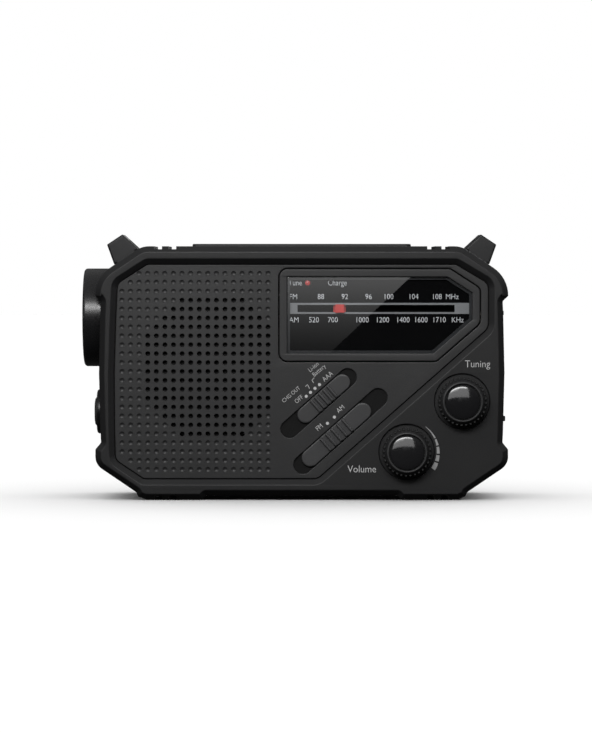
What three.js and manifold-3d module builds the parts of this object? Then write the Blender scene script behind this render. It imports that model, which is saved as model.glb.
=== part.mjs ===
// Emergency radio with a torch, a solar cell and a hand crank.
// Millimetres. Pieces are placed from the casing's middle: x runs to the right, y from the
// front to the back with the parting plane at 0, and z up from the underside of the feet.
import * as THREE from "three";
import { mergeVertices } from "three/addons/utils/BufferGeometryUtils.js";
import Module from "manifold-3d";

const wasm = await Module();
wasm.setup();

// Driving dimensions
const gap = 0.3; // left between neighbouring pieces
const beyond = 120; // past the casing on any side

const casing = {
  height: 101.5, // flat top above the feet
  front: -28,
  back: 28,
  bumperHalf: 82.8, // half width across the corner bumpers
  waistHalf: 80.5, // half width across the sides, between the bumpers
  crown: 1.35, // rise of the sides' corner point between the bumpers
  chamferRun: 18.85,
  chamferRise: 12.6,
  wall: 2.8,
  bevel: 2.2, // round the front and back edges, seen from the front
  bevelDepth: 2.6,
};
const foot = { inner: 40, height: 1.6, end: 20.2 };
const tread = { width: 3.2, pitch: 5.7, depth: 1.2, fromBumper: 28.1 };

const panel = {
  thickness: 2.0,
  recess: 1.8, // below the rim
  wallSlope: 2.1, // width of the slanting wall round it
  ledge: 1.8,
  ledgeThickness: 1.9,
  left: -75.0,
  right: 75.0,
  top: casing.height - 7.1,
  bottom: 8.1,
  deckStart: 6.5, // where the edge leaves the bottom for the knob deck
  deckEnd: 68.6, // height where it reaches the right side
};
const soundHoles = { radius: 1.0, sides: 4, pitchX: 3.44, pitchZ: 3.57, reach: 7.5, corner: 11 };
const speaker = { x: -35.9, z: 53.1, radius: 29.8, magnetRadius: 16.5, back: 1 };

const dial = {
  left: -9.0,
  right: 71.4,
  top: panel.top - 2,
  bottom: panel.top - 39,
  cutRight: 59.3, // where the top edge ends
  cutTop: panel.top - 9.8,
  slopeTop: panel.top - 23.8,
  slopeRight: 53.9,
  frameWidth: 3.1,
  proud: 0.6, // above the panel
  slotLeft: -1.7,
  slotRight: 61.3,
  slotBottom: panel.top - 19.3,
  slotTop: panel.top - 16.4,
};
const pointer = { x: 15.2, width: 3.6 };
const tuneLamp = { x: 2.4, z: dial.top - 5.6, radius: 1.1 };
const drum = { x: 64.2, z: 39.4, flange: 1.0 };
// the drum's flange runs just clear of the side wall
drum.radius = casing.waistHalf - casing.wall - gap - 0.2 - drum.x - drum.flange;
const pulley = { radius: 3.0, flange: 0.6, left: -9, right: 68, z: dial.slotTop - 1 };
const cordHalf = 0.4;

const knob = { radius: 9.8, teeth: 32, toothDepth: 0.55, length: 8.4, well: 7.2, cap: 6.9 };
const dish = { radius: knob.radius + 1.4, depth: 1.2 };
const volume = { x: 42.0, z: 19.2 };
const shaftRadius = 2.9;
const control = { size: 16, front: -18.7, back: -10.7 };

const switchSlope = 41.7; // degrees above level
const power = { x: 6.75, z: 38.6, halfTravel: 15.6, slotRadius: 3.64, at: 2.8, padHalf: 9.8, padRadius: 3.3 };
const band = { x: 15.5, z: 27.4, halfTravel: 20.2, slotRadius: 3.8, at: -2.1, padHalf: 14.0, padRadius: 3.5 };

const torch = { z: 72.7, radius: 19.9, front: -88.3, wall: 3.7, bevel: 2.1, back: -74.8 };
const torchButton = { z: 34.4, radius: 6.0, collar: 9.0, front: -84.2 };

const cover = { y: -6.7, z: 59, width: 12, height: 34, thickness: 1.8, face: 80.9 };
const siren = { y: -7.5, z: 31.8, travel: 2.0, face: 82.5 };

const crank = {
  x: 27,
  z: 48.2,
  dishRadius: 40,
  dishFloor: 18.0,
  armHalf: 9.0,
  armReach: 28.5,
  armFront: 18.4,
  armBack: 27.2,
  slotHalf: 5.3,
  pivotReach: 33,
  gripRadius: 4.4,
  shaft: 3.5,
};
const gear = { module: 1, crankTeeth: 40, pinionTeeth: 10, idlerTeeth: 32, thickness: 3, play: 0.2 };
const generator = { radius: 13, front: -8, back: 6.2 };

const aerial = { x: 70, y: 23.6, z: casing.height - 7, shelf: casing.height - 11.2, front: 19, radius: 3.4 };
const aaa = { radius: 5.25, length: 44.5, pitch: 11.1, left: -69.7, z: 43.75 };
const door = { thickness: 1.7 };
const battery = { left: -70.5, right: -24.5, bottom: 27, top: 60.5 };
// deep enough for a cell between the floor and the door
battery.floor = casing.back - door.thickness - 2 * gap - 2 * aaa.radius;
const lithium = { radius: 9.25, length: 65, left: -2, y: 4, z: 14.5 };
const board = { left: -5, right: 66.5, bottom: 9, top: 74, front: -10.4, thickness: 1.6 };
const solar = { half: 44, depth: 34, proud: 1.0, recess: 1.6, frame: 5 };
const lug = { root: 11.7, tip: 7.5, height: 8.8, edge: 1.7, halfDepth: 12, cheek: 3 };
const screw = { shank: 1.4, head: 3.0, boss: 3.7, headDepth: 24.8 };

// Places worked out from the sizes above
const shoulder = {
  low: [casing.bumperHalf, casing.height - casing.chamferRise],
  high: [casing.bumperHalf - casing.chamferRun, casing.height],
};
const panelFront = casing.front + panel.recess;
const panelBack = panelFront + panel.thickness;
const ledgeFront = panelBack + gap;
const cavityFront = ledgeFront + panel.ledgeThickness;
const deckSlope = (panel.deckEnd - panel.bottom) / (panel.right - panel.deckStart);
const plateFront = panelBack + gap;
const plateBack = plateFront + 1;
const cordY = -20.5;
const runTop = pulley.z + pulley.radius;
const dishFloor = casing.front + dish.depth;

// Outlines: lists of corners [x, z, radius], anticlockwise seen from the front
function insetCorners(corners, distance) {
  return corners.map(([x, z, radius = 0], i) => {
    const before = corners.at(i - 1);
    const after = corners[(i + 1) % corners.length];
    const a = new THREE.Vector2(x - before[0], z - before[1]).normalize();
    const b = new THREE.Vector2(after[0] - x, after[1] - z).normalize();
    const step = distance / (1 + a.dot(b));
    const turn = Math.sign(a.cross(b));
    const newRadius = radius ? Math.max(radius - turn * distance, 0.2) : 0;
    return [x - (a.y + b.y) * step, z + (a.x + b.x) * step, newRadius];
  });
}

function rounded(corners) {
  const shortest = 0.3;
  const points = [];
  corners.forEach(([x, z, radius = 0], i) => {
    const corner = new THREE.Vector2(x, z);
    if (radius === 0) {
      points.push(corner);
      return;
    }
    const before = corners.at(i - 1);
    const after = corners[(i + 1) % corners.length];
    const back = new THREE.Vector2(before[0] - x, before[1] - z).normalize();
    const ahead = new THREE.Vector2(after[0] - x, after[1] - z).normalize();
    const half = Math.acos(back.dot(ahead)) / 2;
    const centre = back.clone().add(ahead).setLength(radius / Math.sin(half)).add(corner);
    const start = back.clone().multiplyScalar(radius / Math.tan(half)).add(corner).sub(centre);
    const sweep = (Math.PI - 2 * half) * Math.sign(ahead.cross(back));
    const steps = Math.max(2, Math.ceil(Math.abs(sweep) / 0.3));
    for (let k = 0; k <= steps; k++) {
      const turned = start.clone().rotateAround(new THREE.Vector2(), (sweep * k) / steps);
      points.push(turned.add(centre));
    }
  });
  return points.filter((point, i) => point.distanceTo(points.at(i - 1)) > shortest);
}

function mirrored(corners) {
  const left = corners.map(([x, z, radius]) => [-x, z, radius]).reverse();
  return [...corners, ...left];
}

function circle(x, z, radius, sides = sidesFor(radius), turn = 0) {
  return Array.from({ length: sides }, (_, k) => {
    const angle = turn + (2 * Math.PI * k) / sides;
    return new THREE.Vector2(x + radius * Math.cos(angle), z + radius * Math.sin(angle));
  });
}

function sidesFor(radius) {
  if (radius < 2.2) return 10;
  if (radius < 7) return 16;
  return radius < 16 ? 20 : 36;
}

function rectangle(x0, x1, z0, z1) {
  return rounded([[x0, z0], [x1, z0], [x1, z1], [x0, z1]]);
}

// A slot or pad with round ends, along a slope through (x, z), from one end centre to the other
function stadium(x, z, from, to, radius, slope = switchSlope) {
  const angle = THREE.MathUtils.degToRad(slope);
  const points = [];
  const steps = 8;
  for (const [end, turn] of [[to, -Math.PI / 2], [from, Math.PI / 2]]) {
    for (let k = 0; k <= steps; k++) {
      const around = angle + turn + (Math.PI * k) / steps;
      const px = x + end * Math.cos(angle) + radius * Math.cos(around);
      const pz = z + end * Math.sin(angle) + radius * Math.sin(around);
      points.push(new THREE.Vector2(px, pz));
    }
  }
  return points;
}

// A rectangle laid along the switches' slope
function slopedBox(at, along, across, halfLength, halfWidth) {
  const angle = THREE.MathUtils.degToRad(switchSlope);
  const corners = [[-1, -1], [1, -1], [1, 1], [-1, 1]];
  return corners.map(([i, j]) => {
    const u = along + i * halfLength;
    const v = across + j * halfWidth;
    const px = at.x + u * Math.cos(angle) - v * Math.sin(angle);
    const pz = at.z + u * Math.sin(angle) + v * Math.cos(angle);
    return new THREE.Vector2(px, pz);
  });
}

function convexOutline(points) {
  const sorted = [...points].sort((a, b) => a.x - b.x || a.y - b.y);
  const half = (list) => {
    const chain = [];
    for (const p of list) {
      while (chain.length > 1) {
        const last = chain.at(-1);
        const before = chain.at(-2);
        const turn = (last.x - before.x) * (p.y - before.y) - (last.y - before.y) * (p.x - before.x);
        if (turn > 1e-9) break;
        chain.pop();
      }
      chain.push(p);
    }
    return chain.slice(0, -1);
  };
  return [...half(sorted), ...half(sorted.reverse())];
}

// Solids
function solid(geometry) {
  const bare = geometry.index ? geometry.toNonIndexed() : geometry.clone();
  bare.deleteAttribute("normal");
  bare.deleteAttribute("uv");
  const merged = mergeVertices(bare, 1e-4);
  const triVerts = new Uint32Array(merged.index.array);
  const vertProperties = merged.attributes.position.array;
  const made = new wasm.Manifold(new wasm.Mesh({ numProp: 3, vertProperties, triVerts }));
  if (made.volume() > 0) return made;
  for (let i = 0; i < triVerts.length; i += 3) {
    [triVerts[i + 1], triVerts[i + 2]] = [triVerts[i + 2], triVerts[i + 1]];
  }
  return new wasm.Manifold(new wasm.Mesh({ numProp: 3, vertProperties, triVerts }));
}

function join(first, ...others) {
  return others.reduce((sum, other) => sum.add(other), first);
}

function cut(body, ...tools) {
  return tools.reduce((rest, tool) => rest.subtract(tool), body);
}

function slab(points, front, back, holes = []) {
  const shape = new THREE.Shape(points);
  shape.holes = holes.map((hole) => new THREE.Path(hole));
  const geometry = new THREE.ExtrudeGeometry(shape, { depth: back - front, bevelEnabled: false });
  geometry.rotateX(Math.PI / 2);
  geometry.translate(0, back, 0);
  return solid(geometry);
}

// A slab whose front and back edges are both bevelled inwards
function bevelledSlab(points, front, back, bevelSize, bevelThickness) {
  const depth = back - front - 2 * bevelThickness;
  const geometry = new THREE.ExtrudeGeometry(new THREE.Shape(points), {
    depth,
    bevelEnabled: true,
    bevelSegments: 1,
    bevelSize,
    bevelThickness,
    bevelOffset: -bevelSize,
  });
  geometry.rotateX(Math.PI / 2);
  geometry.translate(0, back - bevelThickness, 0);
  return solid(geometry);
}

// The same with only the front edge bevelled
function facedSlab(points, front, back, bevelSize, bevelThickness) {
  const long = bevelledSlab(points, front, back + 2 * bevelThickness, bevelSize, bevelThickness);
  return long.trimByPlane([0, -1, 0], -back);
}

function box(x0, x1, y0, y1, z0, z1) {
  const geometry = new THREE.BoxGeometry(x1 - x0, y1 - y0, z1 - z0);
  geometry.translate((x0 + x1) / 2, (y0 + y1) / 2, (z0 + z1) / 2);
  return solid(geometry);
}

function rodX(x0, x1, y, z, radius, sides = sidesFor(radius)) {
  const geometry = new THREE.CylinderGeometry(radius, radius, x1 - x0, sides);
  geometry.rotateZ(Math.PI / 2);
  geometry.translate((x0 + x1) / 2, y, z);
  return solid(geometry);
}

function rodY(x, z, y0, y1, radius, sides = sidesFor(radius)) {
  const geometry = new THREE.CylinderGeometry(radius, radius, y1 - y0, sides);
  geometry.translate(x, (y0 + y1) / 2, z);
  return solid(geometry);
}

function rodZ(x, y, z0, z1, radius, sides = sidesFor(radius)) {
  const geometry = new THREE.CylinderGeometry(radius, radius, z1 - z0, sides);
  geometry.rotateX(Math.PI / 2);
  geometry.translate(x, y, (z0 + z1) / 2);
  return solid(geometry);
}

// Turned pieces: profile points are [radius, place along the axis]
function turnedY(profile, x, z, sides) {
  const points = profile.map(([r, y]) => new THREE.Vector2(r, y));
  const geometry = new THREE.LatheGeometry(points, sides);
  geometry.translate(x, 0, z);
  return solid(geometry);
}

function turnedX(profile, y, z, sides) {
  const points = profile.map(([r, x]) => new THREE.Vector2(r, x));
  const geometry = new THREE.LatheGeometry(points, sides);
  geometry.rotateZ(-Math.PI / 2);
  geometry.translate(0, y, z);
  return solid(geometry);
}

// Casing: the right half's outline runs on past the middle, and the left half mirrors it
function casingCorners() {
  const { bumperHalf, waistHalf, height } = casing;
  const footEnd = bumperHalf - foot.end;
  const overlap = foot.inner / 2;
  const draft = 0.06;
  return [
    [-overlap, foot.height],
    [foot.inner - foot.height, foot.height],
    [foot.inner, 0],
    [footEnd, 0],
    [footEnd + 3, 1.2],
    [footEnd + 3.8, 2.9],
    [bumperHalf, 14, 6],
    [bumperHalf - draft, 20.1],
    [waistHalf, 22.8],
    [waistHalf + casing.crown, height / 2, 500],
    [waistHalf, height - 22],
    [bumperHalf - draft, height - 19.9],
    [...shoulder.low, 13.4],
    [...shoulder.high, 9],
    [-overlap, height],
  ];
}

function cavityCorners() {
  const { waistHalf, bumperHalf, height, chamferRun, chamferRise } = casing;
  const rise = ((bumperHalf - waistHalf) * chamferRise) / chamferRun;
  return insetCorners(
    mirrored([
      [bumperHalf - chamferRun, foot.height],
      [waistHalf, foot.height + chamferRise - rise],
      [waistHalf, height - chamferRise + rise],
      [...shoulder.high],
    ]),
    casing.wall,
  );
}

function treadNotches() {
  const notches = [];
  for (const side of [-1, 1]) {
    for (let k = 0; k < 2; k++) {
      const middle = side * (casing.bumperHalf - tread.fromBumper + tread.pitch / 2 - k * tread.pitch);
      const x0 = middle - tread.width / 2;
      const x1 = middle + tread.width / 2;
      notches.push(box(x0, x1, casing.front - 1, casing.back + 1, casing.height - tread.depth, casing.height + 1));
      notches.push(box(x0, x1, casing.front - 1, casing.back + 1, -1, tread.depth + 0.5));
    }
  }
  return notches;
}

function solarRecess() {
  const half = solar.half + gap;
  const depth = solar.depth / 2 + gap;
  return box(-half, half, -depth, depth, casing.height - solar.recess, casing.height + 1);
}

function torchHole() {
  return rodX(torch.front - 2, torch.back + gap, 0, torch.z, torch.radius + gap);
}

// Point on a shoulder's slope: u runs along it, outwards and down, and n stands off it
function onShoulder(side, u, n) {
  const slope = new THREE.Vector2(casing.chamferRun, -casing.chamferRise).normalize();
  const middleX = (shoulder.low[0] + shoulder.high[0]) / 2 - 2.7;
  const middleZ = (shoulder.low[1] + shoulder.high[1]) / 2 + 1.8;
  const x = middleX + u * slope.x - n * slope.y;
  const z = middleZ + u * slope.y + n * slope.x;
  return new THREE.Vector2(side * x, z);
}

function lugSlots(side) {
  const reach = lug.root / 2 - 1.6 + gap;
  const hole = [[-reach, -9], [reach, -9], [reach, 3], [-reach, 3]].map(([u, n]) => onShoulder(side, u, n));
  const outer = lug.halfDepth + gap;
  const inner = lug.halfDepth - lug.cheek - gap;
  return [slab(hole, -outer, -inner), slab(hole, inner, outer)];
}

// A rib ties a high screw boss to the roof of its case, and a low one to the nearer side
function bossRib(x, z, front, back) {
  const roof = casing.height - casing.wall + 0.5;
  const side = Math.sign(x) * (casing.waistHalf - casing.wall + 0.5);
  if (z > casing.height / 2) return box(x - 1, x + 1, front, back, z, roof);
  return box(Math.min(x, side), Math.max(x, side), front, back, z - 1, z + 1);
}

const screwPlaces = [[-57, casing.height - 15.5], [59, casing.height - 15.5], [-73.5, 16.5], [73, 16.5]];

function roughCasing() {
  const { front, back } = casing;
  const right = rounded(casingCorners());
  const left = right.map((point) => new THREE.Vector2(-point.x, point.y)).reverse();
  const halves = [right, left].map((half) => bevelledSlab(half, front, back, casing.bevel, casing.bevelDepth));
  return cut(
    join(...halves),
    ...treadNotches(),
    solarRecess(),
    torchHole(),
    ...lugSlots(-1),
    ...lugSlots(1),
    rodX(-100, -76, 0, torchButton.z, torchButton.collar - 1.2),
  );
}

// Front panel and the deck that carries the knobs
function panelCorners() {
  const { left, right, top, bottom, deckStart, deckEnd } = panel;
  return [
    [left + 11.6, bottom, 3],
    [deckStart, bottom, 5],
    [right, deckEnd, 5],
    [right, top - 7.8, 4],
    [right - 13.1, top, 3],
    [left + 13.1, top, 3],
    [left + 1, top - 7.8, 4],
    [left - 0.7, casing.height / 2, 600],
    [left + 0.1, bottom + 7.7, 4],
  ];
}

function deckPocket() {
  const shift = 4.8;
  const start = panel.deckStart + shift * Math.sin(Math.atan(deckSlope));
  const low = panel.bottom - shift * Math.cos(Math.atan(deckSlope));
  const bottom = 6.2;
  const right = casing.waistHalf - casing.wall - 1.6;
  const outline = [
    [start + (bottom - low) / deckSlope, bottom],
    [62, bottom],
    [right, 15.4],
    [right, low + (right - start) * deckSlope],
  ];
  return slab(rounded(outline), dishFloor + 2, cavityFront + 1);
}

function frontCase() {
  const outline = panelCorners();
  const wide = rounded(insetCorners(outline, -panel.wallSlope));
  const slope = bevelledSlab(wide, casing.front - 2 * panel.recess, panelFront, panel.wallSlope, panel.recess);
  const pocket = slab(rounded(outline), panelFront - 0.01, ledgeFront);
  const window = slab(rounded(insetCorners(outline, panel.ledge)), ledgeFront - 1, cavityFront + 1);
  let shell = roughCasing().trimByPlane([0, -1, 0], gap / 2);
  shell = cut(shell, slope, pocket, window, deckPocket(), slab(rounded(cavityCorners()), cavityFront, 1));
  shell = cut(shell, coverRecess(), sirenSlot());
  for (const place of [drum, volume]) {
    shell = cut(shell, rodY(place.x, place.z, casing.front - 1, dishFloor, dish.radius));
    shell = cut(shell, rodY(place.x, place.z, dishFloor - 1, cavityFront, shaftRadius + 2 * gap));
  }
  for (const [x, z] of screwPlaces) {
    shell = join(shell, rodY(x, z, cavityFront, -gap / 2, screw.boss), bossRib(x, z, cavityFront, -gap / 2));
    shell = cut(shell, rodY(x, z, -12, 1, screw.shank + gap));
  }
  for (const [x, z] of boardPosts.slice(0, 2)) {
    shell = join(shell, rodY(x, z, dishFloor + 1, board.front - gap, 2.2));
  }
  return shell;
}

const boardPosts = [[62, 12], [28, 12], [-2.4, 52.4]];

function frontPanel() {
  const outline = rounded(insetCorners(panelCorners(), gap));
  const { pitchX, pitchZ, radius, sides, reach, corner } = soundHoles;
  const holes = [];
  for (let i = -reach; i <= reach - 1; i++) {
    for (let j = -reach; j <= reach; j++) {
      if (Math.abs(i) + Math.abs(j) > corner) continue;
      const turn = Math.PI / 2;
      holes.push(circle(speaker.x + i * pitchX, speaker.z + j * pitchZ, radius, sides, turn));
    }
  }
  holes.push(rounded(insetCorners(dialCorners(), -gap)));
  let plate = slab(outline, panelFront, panelBack, holes);
  for (const place of [power, band]) {
    const { halfTravel, slotRadius } = place;
    const well = stadium(place.x, place.z, -halfTravel, halfTravel, slotRadius);
    plate = cut(plate, slab(well, panelFront - 1, panelFront + 1));
    const slit = slopedBox(place, place.at, 0, 6.4, 1.3);
    plate = cut(plate, slab(slit, panelFront - 1, panelBack + 1));
  }
  const [x, z] = boardPosts[2];
  return join(plate, rodY(x, z, panelBack - 1, board.front - gap, 2.0));
}

// Dial
function dialCorners() {
  const { left, right, top, bottom, cutRight, cutTop, slopeTop, slopeRight } = dial;
  return [
    [left, bottom, 3.3],
    [slopeRight, bottom, 3],
    [right, slopeTop, 4],
    [right, cutTop, 3],
    [cutRight, top, 3],
    [left, top, 3.3],
  ];
}

function dialBezel() {
  const outer = rounded(dialCorners());
  const lens = rounded(insetCorners(dialCorners(), dial.frameWidth));
  const view = rounded(insetCorners(dialCorners(), dial.frameWidth + 1.2));
  const front = panelFront - dial.proud;
  const ring = facedSlab(outer, front, panelBack, 0.4, 0.4);
  return cut(ring, slab(lens, front - 1, front + 1.8), slab(view, front, panelBack + 1));
}

function dialLens() {
  const outline = rounded(insetCorners(dialCorners(), dial.frameWidth + gap));
  const front = panelFront - dial.proud;
  return slab(outline, front + 0.2, front + 1.5);
}

function dialPlate() {
  const { left, top, bottom, slotLeft, slotRight, slotBottom, slotTop } = dial;
  const corners = insetCorners(dialCorners(), 1);
  const square = corners.map(([x, z]) => [x, z]);
  square[0] = [left + 3.8, bottom + 1];
  square[5] = [left + 3.8, top - 1];
  const body = slab(rounded(square), plateFront, plateBack);
  const ear = slab(rectangle(pulley.left - 3.6, left + 5, pulley.z - 3, pulley.z + 4.5), plateFront, plateBack);
  const slot = slab(rectangle(slotLeft, slotRight, slotBottom, slotTop), plateFront - 1, plateBack + 1);
  const lamp = rodY(tuneLamp.x, tuneLamp.z, plateFront - 1, plateBack + 1, tuneLamp.radius + gap);
  const posts = [pulley.left, pulley.right].map((x) => rodY(x, pulley.z, plateBack - 0.5, -18.6, 0.8, 8));
  return join(cut(join(body, ear), slot, lamp), ...posts);
}

function dialPointer() {
  const { slotBottom, slotTop } = dial;
  const half = pointer.width / 2;
  const flag = box(pointer.x - half, pointer.x + half, plateFront - 1, plateFront - gap, slotBottom - 0.2, slotTop + 0.2);
  const stem = box(pointer.x - 1, pointer.x + 1, plateFront - 0.5, -20, slotBottom + gap, slotTop - gap);
  const carrier = box(pointer.x - 2.5, pointer.x + 2.5, plateBack + gap, -19.6, slotBottom - 0.4, runTop - cordHalf - gap);
  return join(flag, stem, carrier);
}

function cordLoop(offset) {
  const rolls = [
    ...circle(drum.x, drum.z, drum.radius + offset, 40),
    ...circle(pulley.left, pulley.z, pulley.radius + offset, 20),
    ...circle(pulley.right, pulley.z, pulley.radius + offset, 20),
  ];
  return convexOutline(rolls);
}

function dialCord() {
  return slab(cordLoop(cordHalf), cordY - cordHalf, cordY + cordHalf, [cordLoop(-cordHalf)]);
}

// A grooved wheel for the cord, turned about y
function grooved(x, z, radius, flange, bore) {
  const bottom = radius - cordHalf - gap;
  const wide = 1.2;
  const narrow = 0.6;
  const rim = radius + flange;
  const profile = [
    [bore, cordY - wide],
    [rim, cordY - wide],
    [rim, cordY - narrow],
    [bottom, cordY - narrow],
    [bottom, cordY + narrow],
    [rim, cordY + narrow],
    [rim, cordY + wide],
    [bore, cordY + wide],
  ];
  if (bore > 0) profile.push([bore, cordY - wide]);
  return turnedY(profile, x, z, sidesFor(radius));
}

function tuningDrum() {
  const wheel = grooved(drum.x, drum.z, drum.radius, drum.flange, 0);
  return join(wheel, rodY(drum.x, drum.z, casing.front - 5, cordY - 1, shaftRadius));
}

// Knobs
function knobBody(place, floor) {
  const { radius, teeth, toothDepth, length } = knob;
  const points = [];
  for (let k = 0; k < 2 * teeth; k++) {
    const angle = (Math.PI * k) / teeth;
    const r = k % 2 ? radius - toothDepth : radius;
    points.push(new THREE.Vector2(place.x + r * Math.cos(angle), place.z + r * Math.sin(angle)));
  }
  const front = floor - length;
  const body = facedSlab(points, front, floor, 1.5, 2.4);
  return cut(body, rodY(place.x, place.z, front - 1, front + 2.2, knob.well));
}

function knobCap(place, floor) {
  const front = floor - knob.length;
  const profile = [
    [0, front - 0.2],
    [knob.cap * 0.5, front - 0.05],
    [knob.cap * 0.85, front + 0.35],
    [knob.cap, front + 0.9],
    [knob.cap, front + 1.9],
    [0, front + 1.9],
  ];
  return turnedY(profile, place.x, place.z, 24);
}

function tuningKnob() {
  const floor = dishFloor - gap;
  const bore = rodY(drum.x, drum.z, casing.front - 5 - gap, floor + 1, shaftRadius + gap);
  return cut(knobBody(drum, floor), bore);
}

function volumeKnob() {
  const floor = dishFloor - gap;
  const stem = rodY(volume.x, volume.z, floor - 1, control.front - gap, shaftRadius);
  return join(knobBody(volume, floor), stem);
}

function controlBody(place) {
  const half = control.size / 2;
  const { front, back } = control;
  const can = box(place.x - half, place.x + half, front, back, place.z - half, place.z + half);
  const notches = [-1, 1].map((side) =>
    box(place.x + side * half - 1.5, place.x + side * half + 1.5, front - 1, front + 2.5, place.z - 3, place.z + 3),
  );
  return cut(can, ...notches);
}

// Slide switches
function slider(place, ribs, ribPitch) {
  const front = panelFront - 0.3;
  const back = panelFront + 0.7;
  const pad = stadium(place.x, place.z, place.at - place.padHalf, place.at + place.padHalf, place.padRadius);
  let body = facedSlab(pad, front, back, 0.5, 0.5);
  for (let k = 0; k < ribs; k++) {
    const along = place.at + (k - (ribs - 1) / 2) * ribPitch;
    body = join(body, slab(slopedBox(place, along, 0, 0.5, place.padRadius - 0.7), front - 0.9, front + 0.5));
  }
  return join(body, slab(slopedBox(place, place.at, 0, 1.2, 0.9), back - 0.5, control.front - gap));
}

function switchBody(place) {
  return slab(slopedBox(place, place.at, 0, 9, 3.4), control.front, control.back);
}

// Loudspeaker
function speakerBasket() {
  const { radius, magnetRadius, back } = speaker;
  const front = ledgeFront + 0.4 + gap;
  const profile = [
    [radius, front],
    [radius, front + 1.3],
    [radius - 2.2, front + 1.3],
    [magnetRadius - 0.5, -9],
    [magnetRadius, -9],
    [magnetRadius, back],
    [0, back],
    [0, -7.5],
    [magnetRadius - 3, -10],
    [radius - 3.6, front + 1.3],
    [radius - 3.6, front],
    [radius, front],
  ];
  return turnedY(profile, speaker.x, speaker.z, 40);
}

function speakerCone() {
  const wide = speaker.radius - 4.2;
  const front = ledgeFront + 1.2;
  const profile = [
    [0, -16.5],
    [6, -15.2],
    [7, -13.4],
    [wide - 4, front + 0.6],
    [wide - 2, front],
    [wide, front + 0.4],
    [wide, front + 1.1],
    [wide - 3.4, front + 1.4],
    [7, -12.4],
    [0, -12.4],
  ];
  return turnedY(profile, speaker.x, speaker.z, 32);
}

// Top
function solarBezel() {
  const { half, depth, proud, recess, frame } = solar;
  const low = casing.height - recess + 0.2;
  const high = casing.height + proud;
  const plate = box(-half, half, -depth / 2, depth / 2, low, high);
  const well = box(-half + frame, half - frame, -depth / 2 + frame, depth / 2 - frame, low + 0.8, high + 1);
  return cut(plate, well);
}

function solarCell() {
  const { half, depth, proud, recess, frame } = solar;
  const x = half - frame - gap;
  const y = depth / 2 - frame - gap;
  return box(-x, x, -y, y, casing.height - recess + 1.2, casing.height + proud - 0.5);
}

function strapLug(side) {
  const root = lug.root / 2;
  const tip = lug.tip / 2;
  const low = gap;
  const outline = [[-root, low], [root, low], [tip, lug.height], [-tip, lug.height]];
  const toPoints = (list) => {
    const points = list.map(([u, n]) => onShoulder(side, u, n));
    return side > 0 ? points : points.reverse();
  };
  const { halfDepth, cheek, edge } = lug;
  const block = bevelledSlab(toPoints(outline), -halfDepth, halfDepth, 0.6, 0.8);
  const across = [[-root - 2, -1], [root + 2, -1], [root + 2, lug.height - edge - 1.6], [-root - 2, lug.height - edge - 1.6]];
  let body = cut(block, slab(toPoints(across), cheek - halfDepth, halfDepth - cheek));
  const reach = root - 1.6;
  const leg = [[-reach, -casing.wall - 2.2], [reach, -casing.wall - 2.2], [reach, 1], [-reach, 1]];
  const toe = [[-reach, -casing.wall - 2.2], [reach, -casing.wall - 2.2], [reach, -casing.wall - 0.9], [-reach, -casing.wall - 0.9]];
  for (const [y0, y1] of [[-halfDepth, cheek - halfDepth], [halfDepth - cheek, halfDepth]]) {
    body = join(body, slab(toPoints(leg), y0, y1), slab(toPoints(toe), y0 - 1.2, y1 + 1.2));
  }
  return body;
}

// Torch at the left end
function torchBezel() {
  const { radius, front, wall, bevel, back } = torch;
  const inner = radius - wall;
  return turnedX(
    [
      [radius, back],
      [radius, front + bevel],
      [radius - bevel, front],
      [inner, front],
      [inner, front + 2.3],
      [inner + 1.2, front + 2.3],
      [inner + 1.2, back],
      [radius, back],
    ],
    0,
    torch.z,
    40,
  );
}

function torchLens() {
  const x = torch.front + 2.3 + gap;
  return rodX(x, x + 1.4, 0, torch.z, torch.radius - torch.wall + 0.9, 40);
}

function torchReflector() {
  const edge = torch.radius - torch.wall + 0.9;
  const front = torch.front + 2.3 + 2 * gap + 1.4;
  return turnedX(
    [
      [edge, front],
      [edge, front + 1],
      [edge - 1.6, front + 4],
      [edge - 3.9, front + 8.8],
      [edge - 7.6, front + 13.3],
      [edge - 12, front + 15.4],
      [3.2, front + 16.4],
      [3.2, front + 14.4],
      [edge - 8.7, front + 12],
      [edge - 5.2, front + 8],
      [edge - 2.9, front + 4],
      [edge - 1.4, front],
      [edge, front],
    ],
    0,
    torch.z,
    32,
  );
}

function torchLamp() {
  const back = torch.front + 23;
  const profile = [[0, back], [5, back], [5, back - 1.2], [2.7, back - 1.2], [2.7, back - 5], [1.6, back - 6.4], [0, back - 6.8]];
  return turnedX(profile, 0, torch.z, 16);
}

function buttonCollar() {
  const { collar, radius, front, z } = torchButton;
  const bore = radius + gap;
  const face = front + 1;
  const side = -(casing.waistHalf + casing.crown) + 0.4;
  return turnedX(
    [
      [bore, face],
      [collar - 0.8, face],
      [collar, face + 0.8],
      [collar, side],
      [collar - 1.5, side],
      [collar - 1.5, side + 4.6],
      [bore, side + 4.6],
      [bore, face],
    ],
    0,
    z,
    24,
  );
}

function torchPush() {
  const { radius, front, z } = torchButton;
  const inside = -(casing.waistHalf + casing.crown) + 5.4;
  const profile = [
    [0, front],
    [radius * 0.6, front + 0.3],
    [radius, front + 1.2],
    [radius, inside],
    [radius + 1.2, inside],
    [radius + 1.2, inside + 1.4],
    [0, inside + 1.4],
  ];
  return turnedX(profile, 0, z, 24);
}

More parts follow.
